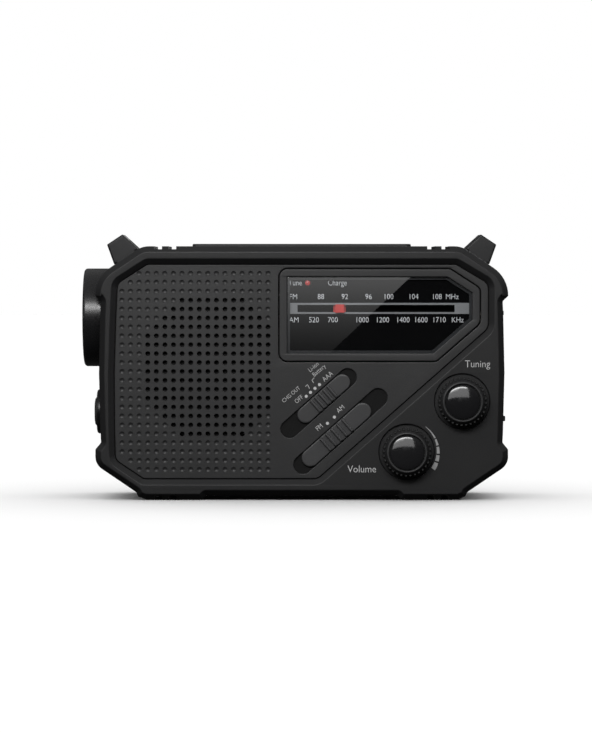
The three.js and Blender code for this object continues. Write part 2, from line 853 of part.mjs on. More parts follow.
// Right end
function coverRecess() {
  const { y, z, width, height, thickness, face } = cover;
  const y0 = y - width / 2;
  const z0 = z - height / 2;
  const seat = face - thickness - gap;
  const recess = box(seat, 90, y0 - gap, y0 + width + gap, z0 - gap, z0 + height + gap);
  const opening = box(70, seat + 1, y0 + 1.5, y0 + width - 1.5, z0 + 2.5, z0 + height - 2.5);
  return recess.add(opening);
}

function portCover() {
  const { y, z, width, height, thickness, face } = cover;
  const y0 = y - width / 2;
  const z0 = z - height / 2;
  const plate = box(face - thickness, face, y0, y0 + width, z0, z0 + height);
  const tab = box(face - 0.5, face + 0.9, y0 + 3, y0 + width - 3, z0 + height - 2.4, z0 + height - 0.4);
  return plate.add(tab);
}

function portSockets() {
  const { y, z, height, face, thickness } = cover;
  const front = face - thickness - 2 * gap - 0.2;
  const block = box(front - 11, front, y - 3.7, y + 3.7, z - height / 2 + 2.9, z + height / 2 - 2.9);
  const charge = box(front - 9, front + 1, y - 2.5, y + 2.5, z - 11, z + 1.4);
  const tongue = box(front - 10, front - 1, y + 0.2, y + 1.9, z - 10, z + 0.4);
  const jack = rodX(front - 9, front + 1, y, z + 5.2, 1.8);
  const feed = box(front - 7, front + 1, y - 1.6, y + 1.6, z + 8.6, z + 12.6);
  return join(cut(block, charge, jack, feed), tongue);
}

function sirenSlot() {
  const { y, z, travel } = siren;
  return box(70, 90, y - travel - 1.6 - gap, y + travel + 1.6 + gap, z - 1.1 - gap, z + 1.1 + gap);
}

function sirenSlider() {
  const { y, z, face } = siren;
  const inner = casing.waistHalf - casing.wall - gap;
  const nub = box(inner - 1, face, y - 1.6, y + 1.6, z - 1.1, z + 1.1);
  return nub.add(box(inner - 1.6, inner, y - 5.5, y + 5.5, z - 3.2, z + 3.2));
}

// Rear case
function rearCase() {
  const { back, wall } = casing;
  const cavity = slab(rounded(cavityCorners()), -1, back - wall);
  const shelfWall = 2;
  const keepShelf = box(-beyond, beyond, aerial.front - shelfWall, beyond, aerial.shelf - shelfWall, beyond);
  const { x, z, dishRadius, dishFloor: floor } = crank;
  const keepDish = rodY(x, z, floor - 2.2, 40, dishRadius + 2.2, 48);
  const keepBattery = box(
    battery.left - 2.4,
    battery.right + 2.4,
    battery.floor - 2.4,
    40,
    battery.bottom - 2.4,
    battery.top + 2.4,
  );
  let shell = roughCasing().trimByPlane([0, 1, 0], gap / 2);
  shell = cut(shell, cut(cavity, keepShelf, keepDish, keepBattery));
  shell = cut(
    shell,
    box(-beyond, beyond, aerial.front, beyond, aerial.shelf, beyond),
    rodY(x, z, floor, 40, dishRadius, 48),
    rodY(x, z, floor - 5, floor + 1, crank.shaft + gap),
    box(battery.left, battery.right, battery.floor, 40, battery.bottom, battery.top),
    box(battery.left - 1.3, battery.right + 1.3, back - door.thickness - gap, 40, battery.bottom - 1.5, battery.top + 1.5),
    rodY(aerial.x, aerial.z, aerial.front - 5, aerial.front + 1, 1.8 + gap),
  );
  for (const [px, pz] of screwPlaces) {
    const head = screw.head + gap;
    const boss = rodY(px, pz, gap / 2, screw.headDepth + 1, screw.boss);
    shell = join(shell, boss, bossRib(px, pz, gap / 2, aerial.front - 3));
    shell = cut(shell, rodY(px, pz, screw.headDepth, 40, head), rodY(px, pz, -1, 40, screw.shank + gap));
  }
  for (const [px, pz, from] of gearboxPosts) {
    shell = join(shell, rodY(px, pz, plateY + 1.9, from + 0.5, 2.5));
  }
  return shell;
}

// Battery compartment
function batteryDoor() {
  const { left, right, bottom, top } = battery;
  const back = casing.back;
  const plate = box(left - 1, right + 1, back - door.thickness, back, bottom - 1.2, top + 1.2);
  const notch = box((left + right) / 2 - 6, (left + right) / 2 + 6, back - 0.8, back + 1, top - 2.4, top - 0.6);
  return cut(plate, notch);
}

function aaaCell(k) {
  const { radius, length, pitch, left, z } = aaa;
  const y = battery.floor + gap + radius;
  const end = k === 1 ? 1 : -1;
  const body = rodX(left + 0.9, left + length - 0.9, y, z + (k - 1) * pitch, radius, 20);
  const middle = left + length / 2 + (end * (length - 1.9)) / 2;
  return body.add(rodX(middle - 0.95, middle + 0.95, y, z + (k - 1) * pitch, 1.9));
}

function lithiumCell() {
  const { radius, length, left, y, z } = lithium;
  return rodX(left, left + length, y, z, radius, 24);
}

function mainBoard() {
  const { left, right, bottom, top, front, thickness } = board;
  let plate = box(left, right, front, front + thickness, bottom, top);
  for (const x of [4, 30, 48]) {
    plate = join(plate, box(x, x + 8, front + thickness - 0.5, front + thickness + 1.6, 30, 38));
  }
  return plate;
}

// Crank and gear train, all turning about y
const plateY = 6.6;
const drive = { big: 12.3, small: 8.8 };
const crankRadius = (gear.module * gear.crankTeeth) / 2;
const pinionRadius = (gear.module * gear.pinionTeeth) / 2;
const idlerRadius = (gear.module * gear.idlerTeeth) / 2;
const idlerAngle = THREE.MathUtils.degToRad(118);
const idlerReach = crankRadius + pinionRadius + gear.play;
const idler = {
  x: crank.x + idlerReach * Math.cos(idlerAngle),
  z: crank.z + idlerReach * Math.sin(idlerAngle),
};
const rotor = { x: idler.x - idlerRadius - pinionRadius - gear.play, z: idler.z };
const gearboxPosts = [
  [idler.x - 23, idler.z + 17.5, casing.back - casing.wall],
  [crank.x + 23, idler.z, crank.dishFloor - 2.2],
  [crank.x - 19, crank.z - 20.2, crank.dishFloor - 2.2],
];

// A toothed wheel with the middle of one tooth, or of one gap, towards an angle
function toothed(place, teeth, y0, angle, gapThere) {
  const radius = (gear.module * teeth) / 2;
  const pitch = (2 * Math.PI) / teeth;
  const start = angle + (gapThere ? pitch / 2 : 0);
  const points = [];
  for (let k = 0; k < teeth; k++) {
    const middle = start + k * pitch;
    const sides = [[-0.82, -1.2], [-0.26, 0.85], [0.26, 0.85], [0.82, -1.2]];
    for (const [across, up] of sides) {
      const r = radius + up * gear.module;
      const a = middle + (across * gear.module) / radius;
      points.push(new THREE.Vector2(place.x + r * Math.cos(a), place.z + r * Math.sin(a)));
    }
  }
  return slab(points, y0, y0 + gear.thickness);
}

function crankGear() {
  const wheel = toothed(crank, gear.crankTeeth, drive.big, idlerAngle, false);
  return join(
    wheel,
    rodY(crank.x, crank.z, drive.big - 1, crank.armBack - 1.3, crank.shaft),
    rodY(crank.x, crank.z, plateY + 0.3, drive.big + 1, 2.6),
  );
}

function idlerGear() {
  const pinion = toothed(idler, gear.pinionTeeth, drive.big, idlerAngle + Math.PI, true);
  const wheel = toothed(idler, gear.idlerTeeth, drive.small, Math.PI, false);
  const shaft = rodY(idler.x, idler.z, plateY + 0.3, drive.big + gear.thickness + 0.2, 2);
  return join(pinion, wheel, shaft);
}

function generatorRotor() {
  const pinion = toothed(rotor, gear.pinionTeeth, drive.small, 0, true);
  const { front, back, radius } = generator;
  return join(
    pinion,
    rodY(rotor.x, rotor.z, front + 2.5, drive.small + 1, 1.3),
    rodY(rotor.x, rotor.z, front + 2.4, back - 2.4, radius - 3),
  );
}

function generatorHousing() {
  const { front, back, radius } = generator;
  const wall = 1.5;
  return turnedY(
    [
      [0, front],
      [radius, front],
      [radius, back],
      [1.8, back],
      [1.8, back - wall],
      [radius - wall, back - wall],
      [radius - wall, front + wall],
      [0, front + wall],
    ],
    rotor.x,
    rotor.z,
    32,
  );
}

function gearboxPlate() {
  const [first, second, third] = gearboxPosts;
  const outline = convexOutline([
    ...circle(first[0], first[1], 4.5, 12),
    ...circle(second[0], second[1], 4.5, 12),
    ...circle(third[0], third[1], 3.4, 12),
    ...circle(rotor.x, rotor.z, 9, 16),
  ]);
  const holes = [
    circle(crank.x, crank.z, 2.6 + gap),
    circle(idler.x, idler.z, 2 + gap),
    circle(rotor.x, rotor.z, 2.4),
  ];
  return slab(outline, plateY, plateY + 1.6, holes);
}

function crankArm() {
  const { x, z, armHalf, armReach, armFront, armBack, slotHalf, pivotReach, shaft } = crank;
  const bar = stadium(x - armReach, z, 0, armReach, armHalf, 0);
  const body = bevelledSlab(bar, armFront, armBack, 0.8, 0.8);
  const slotEnd = x - armHalf - 1.2;
  return cut(
    body,
    box(x - armReach - armHalf - 5, slotEnd, armFront - 1, armBack + 1, z - slotHalf, z + slotHalf),
    rodY(x, z, armFront - 1, armBack - 1, shaft + gap),
    rodZ(x - pivotReach, (armFront + armBack) / 2 + 0.1, z - armHalf - 1, z + armHalf + 1, 1.6 + gap),
  );
}

const gripY = (crank.armFront + crank.armBack) / 2 + 0.1;
const pivotX = crank.x - crank.pivotReach;
const gripEnd = crank.x - crank.armHalf - 2.2;

function crankHandle() {
  const { z, slotHalf } = crank;
  const eye = rodZ(pivotX, gripY, z - slotHalf + gap, z + slotHalf - gap, 4.1);
  const pin = rodZ(pivotX, gripY, z - slotHalf - 2, z + slotHalf + 2, 1.6);
  return join(eye, pin, rodX(pivotX, gripEnd - 2, gripY, z, 1.9));
}

function crankGrip() {
  const { z, gripRadius } = crank;
  const start = pivotX + 4.1 + gap;
  return turnedX(
    [
      [1.9 + gap, start],
      [gripRadius - 0.6, start],
      [gripRadius, start + 0.8],
      [gripRadius, gripEnd - 0.8],
      [gripRadius - 0.8, gripEnd],
      [0, gripEnd],
      [0, gripEnd - 1.6],
      [1.9 + gap, gripEnd - 1.6],
      [1.9 + gap, start],
    ],
    gripY,
    z,
    20,
  );
}

// Aerial: a swivel base with a fork, then three sections that slide into each other
function aerialBase() {
  const { x, y, z, front } = aerial;
  const drumBody = rodY(x, z, front + gap, casing.back - 0.5, 4.0);
  const fork = box(x - 9, x + 3.2, y - 3.3, casing.back + 2, z - 1.3, z + 1.3);
  const shaft = rodY(x, z, front - 4.5, front + 1, 1.8);
  return join(cut(drumBody, fork), shaft, rodZ(x, y, z - 3, z + 3, 1.0));
}

function aerialRoot() {
  const { x, y, z, radius } = aerial;
  const tongue = slabZ(x - 6, x, y, 2.9, z - 1, z + 1);
  const tube = turnedX(
    [
      [0, x - 5],
      [radius, x - 5.6],
      [radius, x - 118],
      [radius - 0.45, x - 118],
      [radius - 0.45, x - 7.5],
      [0, x - 7.5],
    ],
    y,
    z,
    14,
  );
  return cut(join(tongue, tube), rodZ(x, y, z - 4, z + 4, 1.3));
}

// A flat tongue with a round end at x1, lying in the x-y plane
function slabZ(x0, x1, y, half, z0, z1) {
  const bar = box(x0, x1, y - half, y + half, z0, z1);
  return bar.add(rodZ(x1, y, z0, z1, half, 16));
}

function aerialMiddle() {
  const { x, y, z, radius } = aerial;
  const outer = radius - 0.45 - 0.25;
  const inner = outer - 0.4;
  return turnedX(
    [
      [inner, x - 9],
      [outer, x - 9],
      [outer, x - 121],
      [inner, x - 121],
      [inner, x - 9],
    ],
    y,
    z,
    14,
  );
}

function aerialTip() {
  const { x, y, z, radius } = aerial;
  const rod = radius - 0.45 - 0.25 - 0.4 - 0.25;
  return turnedX(
    [
      [0, x - 12],
      [rod, x - 12],
      [rod, x - 122.5],
      [radius - 0.6, x - 122.9],
      [radius, x - 124],
      [radius, x - 126.5],
      [radius - 1, x - 128],
      [0, x - 128],
    ],
    y,
    z,
    14,
  );
}

function caseScrew([x, z]) {
  const { shank, head, headDepth } = screw;
  const top = headDepth + gap;
  const body = join(rodY(x, z, -10, top + 0.5, shank), rodY(x, z, top, top + 1.9, head, 14));
  const slots = [box(x - 1.8, x + 1.8, top + 1.1, 40, z - 0.3, z + 0.3), box(x - 0.3, x + 0.3, top + 1.1, 40, z - 1.8, z + 1.8)];
  return cut(body, ...slots);
}

// Materials
const finish = (color, roughness, metalness = 0) => new THREE.MeshStandardMaterial({ color, roughness, metalness });
const blackCase = finish(0x17181a, 0.55);
const blackPanel = finish(0x1d1e20, 0.6);
const glossBlack = finish(0x0c0c0d, 0.15);
const clear = new THREE.MeshStandardMaterial({ color: 0xc8ccd0, roughness: 0.05, transparent: true, opacity: 0.3 });
const red = finish(0xb3352c, 0.4);
const steel = finish(0xb9bcc0, 0.3, 1);
const brass = finish(0xb08d4a, 0.4, 1);
const white = finish(0xd8d8d4, 0.5);
const green = finish(0x1f5a35, 0.5);
const cloth = finish(0x101010, 0.95);
const blue = finish(0x16233f, 0.2);
const paper = finish(0x3d4a54, 0.6);

// Assembly
const radio = new THREE.Group();
radio.name = "emergency_radio";

function add(name, manifold, material) {
  const mesh = manifold.getMesh();
  const geometry = new THREE.BufferGeometry();
  geometry.setAttribute("position", new THREE.BufferAttribute(mesh.vertProperties, 3));
  geometry.setIndex(new THREE.BufferAttribute(mesh.triVerts, 1));
  geometry.computeVertexNormals();
  const piece = new THREE.Mesh(geometry, material);
  piece.name = name;
  radio.add(piece);
}

add("front_case", frontCase(), blackCase);
add("rear_case", rearCase(), blackCase);
add("front_panel", frontPanel(), blackPanel);
add("dial_bezel", dialBezel(), blackPanel);
add("dial_lens", dialLens(), clear);
add("dial_plate", dialPlate(), glossBlack);
add("dial_pointer", dialPointer(), red);
add("dial_cord", dialCord(), white);
add("cord_pulley_left", grooved(pulley.left, pulley.z, pulley.radius, pulley.flange, 0.8 + gap), white);
add("cord_pulley_right", grooved(pulley.right, pulley.z, pulley.radius, pulley.flange, 0.8 + gap), white);
add("tuning_drum", tuningDrum(), white);
add("tuning_knob", tuningKnob(), blackCase);
add("tuning_knob_cap", knobCap(drum, dishFloor - gap), glossBlack);
add("tuning_control", controlBody(drum), white);
add("volume_knob", volumeKnob(), blackCase);
add("volume_knob_cap", knobCap(volume, dishFloor - gap), glossBlack);
add("volume_control", controlBody(volume), steel);
add("power_slider", slider(power, 5, 2.2), blackPanel);
add("power_switch", switchBody(power), steel);
add("band_slider", slider(band, 5, 2.9), blackPanel);
add("band_switch", switchBody(band), steel);
add("tune_lamp", rodY(tuneLamp.x, tuneLamp.z, plateFront - 0.5, plateBack + 3, tuneLamp.radius, 12), red);
add("speaker_cloth", rodY(speaker.x, speaker.z, ledgeFront, ledgeFront + 0.4, speaker.radius), cloth);
add("speaker_basket", speakerBasket(), steel);
add("speaker_cone", speakerCone(), cloth);
add("main_board", mainBoard(), green);
add("solar_bezel", solarBezel(), blackCase);
add("solar_cell", solarCell(), blue);
add("strap_lug_left", strapLug(-1), blackCase);
add("strap_lug_right", strapLug(1), blackCase);
add("torch_bezel", torchBezel(), blackCase);
add("torch_lens", torchLens(), clear);
add("torch_reflector", torchReflector(), steel);
add("torch_lamp", torchLamp(), white);
add("torch_button_collar", buttonCollar(), blackCase);
add("torch_button", torchPush(), cloth);
add("port_cover", portCover(), cloth);
add("port_sockets", portSockets(), steel);
add("siren_slider", sirenSlider(), blackPanel);
add("battery_door", batteryDoor(), blackCase);
for (let k = 0; k < 3; k++) add(`aaa_cell_${k + 1}`, aaaCell(k), paper);
add("lithium_cell", lithiumCell(), blue);
add("crank_arm", crankArm(), blackCase);
add("crank_handle", crankHandle(), steel);
add("crank_grip", crankGrip(), blackPanel);
add("crank_gear", crankGear(), white);
add("idler_gear", idlerGear(), white);
add("generator_rotor", generatorRotor(), brass);
add("generator_housing", generatorHousing(), steel);
add("gearbox_plate", gearboxPlate(), steel);
add("aerial_base", aerialBase(), steel);
add("aerial_section_1", aerialRoot(), steel);
add("aerial_section_2", aerialMiddle(), steel);
add("aerial_section_3", aerialTip(), steel);
screwPlaces.forEach((place, k) => add(`case_screw_${k + 1}`, caseScrew(place), steel));

// The finished radio stands on the middle of its own bounding box's underside
radio.updateMatrixWorld(true);
const reach = new THREE.Box3().setFromObject(radio, true);
radio.position.set(-(reach.min.x + reach.max.x) / 2, -(reach.min.y + reach.max.y) / 2, -reach.min.z);

export default radio;
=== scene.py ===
from math import acos, ceil, cos, pi, radians, sin, tan

import bmesh
import bpy
from mathutils import Matrix, Vector
from mathutils.geometry import tessellate_polygon


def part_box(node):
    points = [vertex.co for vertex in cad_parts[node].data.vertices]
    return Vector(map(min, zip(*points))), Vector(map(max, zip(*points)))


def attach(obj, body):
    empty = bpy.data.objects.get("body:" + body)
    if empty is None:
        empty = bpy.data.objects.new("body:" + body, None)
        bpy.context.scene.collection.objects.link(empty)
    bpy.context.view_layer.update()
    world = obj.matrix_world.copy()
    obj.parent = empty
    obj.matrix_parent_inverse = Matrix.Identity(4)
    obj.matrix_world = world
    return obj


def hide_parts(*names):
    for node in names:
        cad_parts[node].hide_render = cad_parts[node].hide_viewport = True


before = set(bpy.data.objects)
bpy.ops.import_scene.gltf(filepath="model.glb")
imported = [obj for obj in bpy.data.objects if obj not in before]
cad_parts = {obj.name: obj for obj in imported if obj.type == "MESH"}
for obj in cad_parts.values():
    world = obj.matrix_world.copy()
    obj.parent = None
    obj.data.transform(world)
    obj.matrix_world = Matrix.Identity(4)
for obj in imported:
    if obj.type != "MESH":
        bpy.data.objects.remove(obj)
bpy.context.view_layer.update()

scene = bpy.context.scene
caseLow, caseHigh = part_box("front_case")
middleX = (caseLow.x + caseHigh.x) / 2
partingY = caseLow.y + 0.028
mm = 0.001
toFrame = Matrix.Translation((middleX, partingY, 0)) @ Matrix.Scale(mm, 4)
print("frame loaded, casing middle at", round(middleX, 5), round(partingY, 5))


# outlines: each is a function of how far it is drawn in, and always gives as many points
def insetCorners(corners, distance):
    found = []
    for i, (x, z, radius) in enumerate(corners):
        before, after = corners[i - 1], corners[(i + 1) % len(corners)]
        a = Vector((x - before[0], z - before[1])).normalized()
        b = Vector((after[0] - x, after[1] - z)).normalized()
        step = distance / (1 + a.dot(b))
        turn = 1 if a.cross(b) > 0 else -1
        newRadius = max(radius - turn * distance, 0.15) if radius else 0
        found.append((x - (a.y + b.y) * step, z + (a.x + b.x) * step, newRadius))
    return found


def roundCorners(corners, stepAngle=0.13):
    points = []
    for i, (x, z, radius) in enumerate(corners):
        corner = Vector((x, z))
        if not radius:
            points.append(corner)
            continue
        back = (Vector(corners[i - 1][:2]) - corner).normalized()
        ahead = (Vector(corners[(i + 1) % len(corners)][:2]) - corner).normalized()
        half = acos(max(-1, min(1, back.dot(ahead)))) / 2
        centre = corner + (back + ahead).normalized() * (radius / sin(half))
        start = corner + back * (radius / tan(half)) - centre
        sweep = (pi - 2 * half) * (1 if ahead.cross(back) > 0 else -1)
        steps = max(2, ceil(abs(sweep) / stepAngle))
        for k in range(steps + 1):
            points.append(Matrix.Rotation(sweep * k / steps, 2) @ start + centre)
    return points


def polygon(corners):
    full = [(*c, 0)[:3] for c in corners]
    return lambda inset=0: roundCorners(insetCorners(full, inset))


def rectangle(x0, x1, z0, z1, radius=0):
    return polygon([(x0, z0, radius), (x1, z0, radius), (x1, z1, radius), (x0, z1, radius)])


def circle(x, z, radius, sides=96):
    def points(inset=0):
        r = radius - inset
        return [Vector((x + r * cos(2 * pi * k / sides), z + r * sin(2 * pi * k / sides)))
                for k in range(sides)]
    return points


def stadium(place, start, end, radius, slope):
    angle = radians(slope)
    def points(inset=0):
        found = []
        for along, turn in ((end, -pi / 2), (start, pi / 2)):
            for k in range(21):
                around = angle + turn + pi * k / 20
                found.append(Vector((
                    place[0] + along * cos(angle) + (radius - inset) * cos(around),
                    place[1] + along * sin(angle) + (radius - inset) * sin(around),
                )))
        return found
    return points


def sloped(place, along, across, halfLength, halfWidth, slope, radius=0):
    angle = radians(slope)
    corners = []
    for i, j in ((-1, -1), (1, -1), (1, 1), (-1, 1)):
        u, v = along + i * halfLength, across + j * halfWidth
        corners.append((place[0] + u * cos(angle) - v * sin(angle),
                        place[1] + u * sin(angle) + v * cos(angle), radius))
    return polygon(corners)


# edges: pairs of (drawn in, depth)
def softFront(depth, size, steps=4):
    angles = [pi / 2 * k / steps for k in range(steps + 1)]
    return [(size * (1 - sin(a)), depth + size * (1 - cos(a))) for a in angles]


def softBack(depth, size, steps=4):
    return [(inset, 2 * depth - y) for inset, y in reversed(softFront(depth, size, steps))]


# solids
lays = {
    "front": lambda u, v, depth: (u, depth, v),
    "top": lambda u, v, depth: (u, v, depth),
    "side": lambda u, v, depth: (depth, u, v),
}


def sweep(bm, outline, edge, lay="front"):
    rings = [[bm.verts.new(lays[lay](p.x, p.y, depth)) for p in outline(inset)] for inset, depth in edge]
    for a, b in zip(rings, rings[1:]):
        for i in range(len(a)):
            j = (i + 1) % len(a)
            bm.faces.new((a[i], a[j], b[j], b[i]))
    return rings


def cap(bm, *rings, lay="front"):
    flat = {"front": (0, 2), "top": (0, 1), "side": (1, 2)}[lay]
    verts = [v for ring in rings for v in ring]
    loops = [[Vector((v.co[flat[0]], v.co[flat[1]], 0)) for v in ring] for ring in rings]
    for tri in tessellate_polygon(loops):
        corners = [verts[i] for i in tri]
        if len(set(corners)) == 3 and not bm.faces.get(corners):
            bm.faces.new(corners)


def moulding(outline, edge, holes=(), lay="front"):
    # a plate or block; each hole is (outline, edge, whether it has a floor)
    bm = bmesh.new()
    outer = sweep(bm, outline, edge, lay)
    fronts, backs = [outer[0]], [outer[-1]]
    for hole, holeEdge, hasFloor in holes:
        rings = sweep(bm, hole, holeEdge, lay)
        fronts.append(rings[0])
        if hasFloor:
            cap(bm, rings[-1], lay=lay)
        else:
            backs.append(rings[-1])
    cap(bm, *fronts, lay=lay)
    cap(bm, *backs, lay=lay)
    return bm


def block(x0, x1, y0, y1, z0, z1, soft=0.0, corner=0.0):
    if soft == 0:
        return moulding(rectangle(x0, x1, z0, z1, corner), [(0, y0), (0, y1)])
    return moulding(rectangle(x0, x1, z0, z1, max(corner, soft)),
                    softFront(y0, soft, 3) + softBack(y1, soft, 3))


def turned(profile, centre, axis="y", sides=96):
    # profile points are (radius, place along the axis)
    places = {
        "y": lambda c, s, along: (centre[0] + c, along, centre[1] + s),
        "x": lambda c, s, along: (along, centre[0] + c, centre[1] + s),
        "z": lambda c, s, along: (centre[0] + c, centre[1] + s, along),
    }[axis]
    bm = bmesh.new()
    rings = []
    for r, along in profile:
        if r < 1e-6:
            rings.append([bm.verts.new(places(0, 0, along))])
        else:
            turns = [2 * pi * k / sides for k in range(sides)]
            rings.append([bm.verts.new(places(r * cos(t), r * sin(t), along)) for t in turns])
    pairs = list(zip(rings, rings[1:]))
    if len(rings[0]) > 1:
        pairs.append((rings[-1], rings[0]))
    for a, b in pairs:
        for i in range(sides):
            j = (i + 1) % sides
            if len(a) == 1 and len(b) > 1:
                bm.faces.new((a[0], b[j], b[i]))
            elif len(b) == 1 and len(a) > 1:
                bm.faces.new((a[i], a[j], b[0]))
            elif len(a) > 1:
                bm.faces.new((a[i], a[j], b[j], b[i]))
    return bm


def together(*parts):
    whole = bmesh.new()
    for bm in parts:
        spare = bpy.data.meshes.new("spare")
        bmesh.ops.recalc_face_normals(bm, faces=bm.faces)
        bm.to_mesh(spare)
        bm.free()
        whole.from_mesh(spare)
        bpy.data.meshes.remove(spare)
    return whole


def objectFrom(bm, name, inFrame=True):
    if inFrame:
        bm.transform(toFrame)
    else:
        bm.transform(Matrix.Scale(mm, 4))
    bmesh.ops.remove_doubles(bm, verts=bm.verts, dist=2e-7)
    bmesh.ops.recalc_face_normals(bm, faces=bm.faces)
    mesh = bpy.data.meshes.new(name)
    bm.to_mesh(mesh)
    bm.free()
    made = bpy.data.objects.new(name, mesh)
    scene.collection.objects.link(made)
    return made


def evaluatedMesh(made):
    bpy.context.view_layer.update()
    graph = bpy.context.evaluated_depsgraph_get()
    return bpy.data.meshes.new_from_object(made.evaluated_get(graph), depsgraph=graph)


def combine(made, tool, operation="DIFFERENCE"):
    modifier = made.modifiers.new("combine", "BOOLEAN")
    modifier.solver = "MANIFOLD"
    modifier.operation = operation
    modifier.object = tool
    mesh = evaluatedMesh(made)
    made.modifiers.clear()
    made.data = mesh
    bpy.data.objects.remove(tool)


def carve(made, tools, operation="DIFFERENCE", inFrame=True):
    for bm in tools:
        combine(made, objectFrom(bm, "tool", inFrame), operation)
    return made


def dress(made, material, body, replaces=(), slot=None, edgeAngle=32, weighted=True):
    mesh = made.data
    mesh.materials.clear()
    mesh.materials.append(material)
    for face in mesh.polygons:
        face.use_smooth = True
        face.material_index = 0
    mesh.set_sharp_from_angle(angle=radians(edgeAngle))
    if weighted:
        modifier = made.modifiers.new("flat faces stay flat", "WEIGHTED_NORMAL")
        modifier.keep_sharp = True
        made.data = evaluatedMesh(made)
        made.modifiers.clear()
    if replaces:
        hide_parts(*replaces)
    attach(made, body)
    return made


def piece(bm, name, material, body, **more):
    return dress(objectFrom(bm, name), material, body, **more)


# geometry node trees
def newTree(name, sizes):
    tree = bpy.data.node_groups.new(name, "GeometryNodeTree")
    tree.interface.new_socket("Geometry", in_out="INPUT", socket_type="NodeSocketGeometry")
    kinds = {int: "NodeSocketInt", float: "NodeSocketFloat", tuple: "NodeSocketVector"}
    for label, value in sizes.items():
        kind = kinds.get(type(value))
        if kind is None:
            kind = "NodeSocketMaterial" if isinstance(value, bpy.types.Material) else "NodeSocketObject"
        tree.interface.new_socket(label, in_out="INPUT", socket_type=kind)
    tree.interface.new_socket("Geometry", in_out="OUTPUT", socket_type="NodeSocketGeometry")
    tree["start"] = tree.nodes.new("NodeGroupInput").name
    return tree


def nodeIn(tree, kind, inputs=None, **settings):
    node = tree.nodes.new(kind)
    for label, value in settings.items():
        setattr(node, label, value)
    for label, value in (inputs or {}).items():
        socket = node.inputs[label]
        if isinstance(value, bpy.types.NodeSocket):
            tree.links.new(value, socket)
        else:
            socket.default_value = value
    return node


def maths(tree, operation, a, b=0.0):
    node = tree.nodes.new("ShaderNodeMath")
    node.operation = operation
    for socket, value in zip(node.inputs, (a, b)):
        if isinstance(value, bpy.types.NodeSocket):
            tree.links.new(value, socket)
        else:
            socket.default_value = value
    return node.outputs[0]


def endTree(tree, geometry, material):
    real = nodeIn(tree, "GeometryNodeRealizeInstances", {"Geometry": geometry})
    painted = nodeIn(tree, "GeometryNodeSetMaterial", {"Geometry": real.outputs[0], "Material": material})
    end = tree.nodes.new("NodeGroupOutput")
    tree.links.new(painted.outputs[0], end.inputs[0])


def runTree(tree, made, sizes):
    modifier = made.modifiers.new(tree.name, "NODES")
    modifier.node_group = tree
    for item in tree.interface.items_tree:
        if item.in_out == "INPUT" and item.name in sizes:
            modifier[item.identifier] = sizes[item.name]
    mesh = evaluatedMesh(made)
    made.modifiers.clear()
    made.data = mesh
    return made


def buildRowTree():
    # copies of a shape along a line, as ribs, slats and grid lines are
    tree = newTree("rowOfCopies", {"Count": 1, "Step": (0, 0, 0), "Material": plastics["case"]})
    start = tree.nodes[tree["start"]].outputs
    line = nodeIn(tree, "GeometryNodeMeshLine", {"Count": start["Count"], "Offset": start["Step"]})
    copies = nodeIn(tree, "GeometryNodeInstanceOnPoints",
                    {"Points": line.outputs[0], "Instance": start["Geometry"]})
    endTree(tree, copies.outputs[0], start["Material"])
    return tree


def buildRingTree():
    # copies of a shape turned about an axis through a centre, as the teeth of a grip are
    sizes = {"Count": 12, "Centre": (0, 0, 0), "Axis": (0, 1, 0), "First Turn": 0.0, "Turn": 0.5,
             "Material": plastics["case"]}
    tree = newTree("ringOfCopies", sizes)
    start = tree.nodes[tree["start"]].outputs
    line = nodeIn(tree, "GeometryNodeMeshLine", {"Count": start["Count"], "Offset": (0, 0, 0)})
    index = nodeIn(tree, "GeometryNodeInputIndex")
    angle = maths(tree, "ADD", maths(tree, "MULTIPLY", index.outputs[0], start["Turn"]), start["First Turn"])
    turn = nodeIn(tree, "ShaderNodeVectorMath", {0: start["Axis"], "Scale": angle}, operation="SCALE")
    copies = nodeIn(tree, "GeometryNodeInstanceOnPoints", {
        "Points": line.outputs[0], "Instance": start["Geometry"], "Rotation": turn.outputs[0]})
    moved = nodeIn(tree, "GeometryNodeTransform",
                   {"Geometry": copies.outputs[0], "Translation": start["Centre"]})
    endTree(tree, moved.outputs[0], start["Material"])
    return tree


def buildPlacesTree():
    # a copy of one shape at each point, as screws are
    tree = newTree("copiesAtPoints", {"Shape": None, "Material": plastics["case"]})
    start = tree.nodes[tree["start"]].outputs
    shape = nodeIn(tree, "GeometryNodeObjectInfo", {"Object": start["Shape"]})
    copies = nodeIn(tree, "GeometryNodeInstanceOnPoints",
                    {"Points": start["Geometry"], "Instance": shape.outputs["Geometry"]})
    endTree(tree, copies.outputs[0], start["Material"])
    return tree


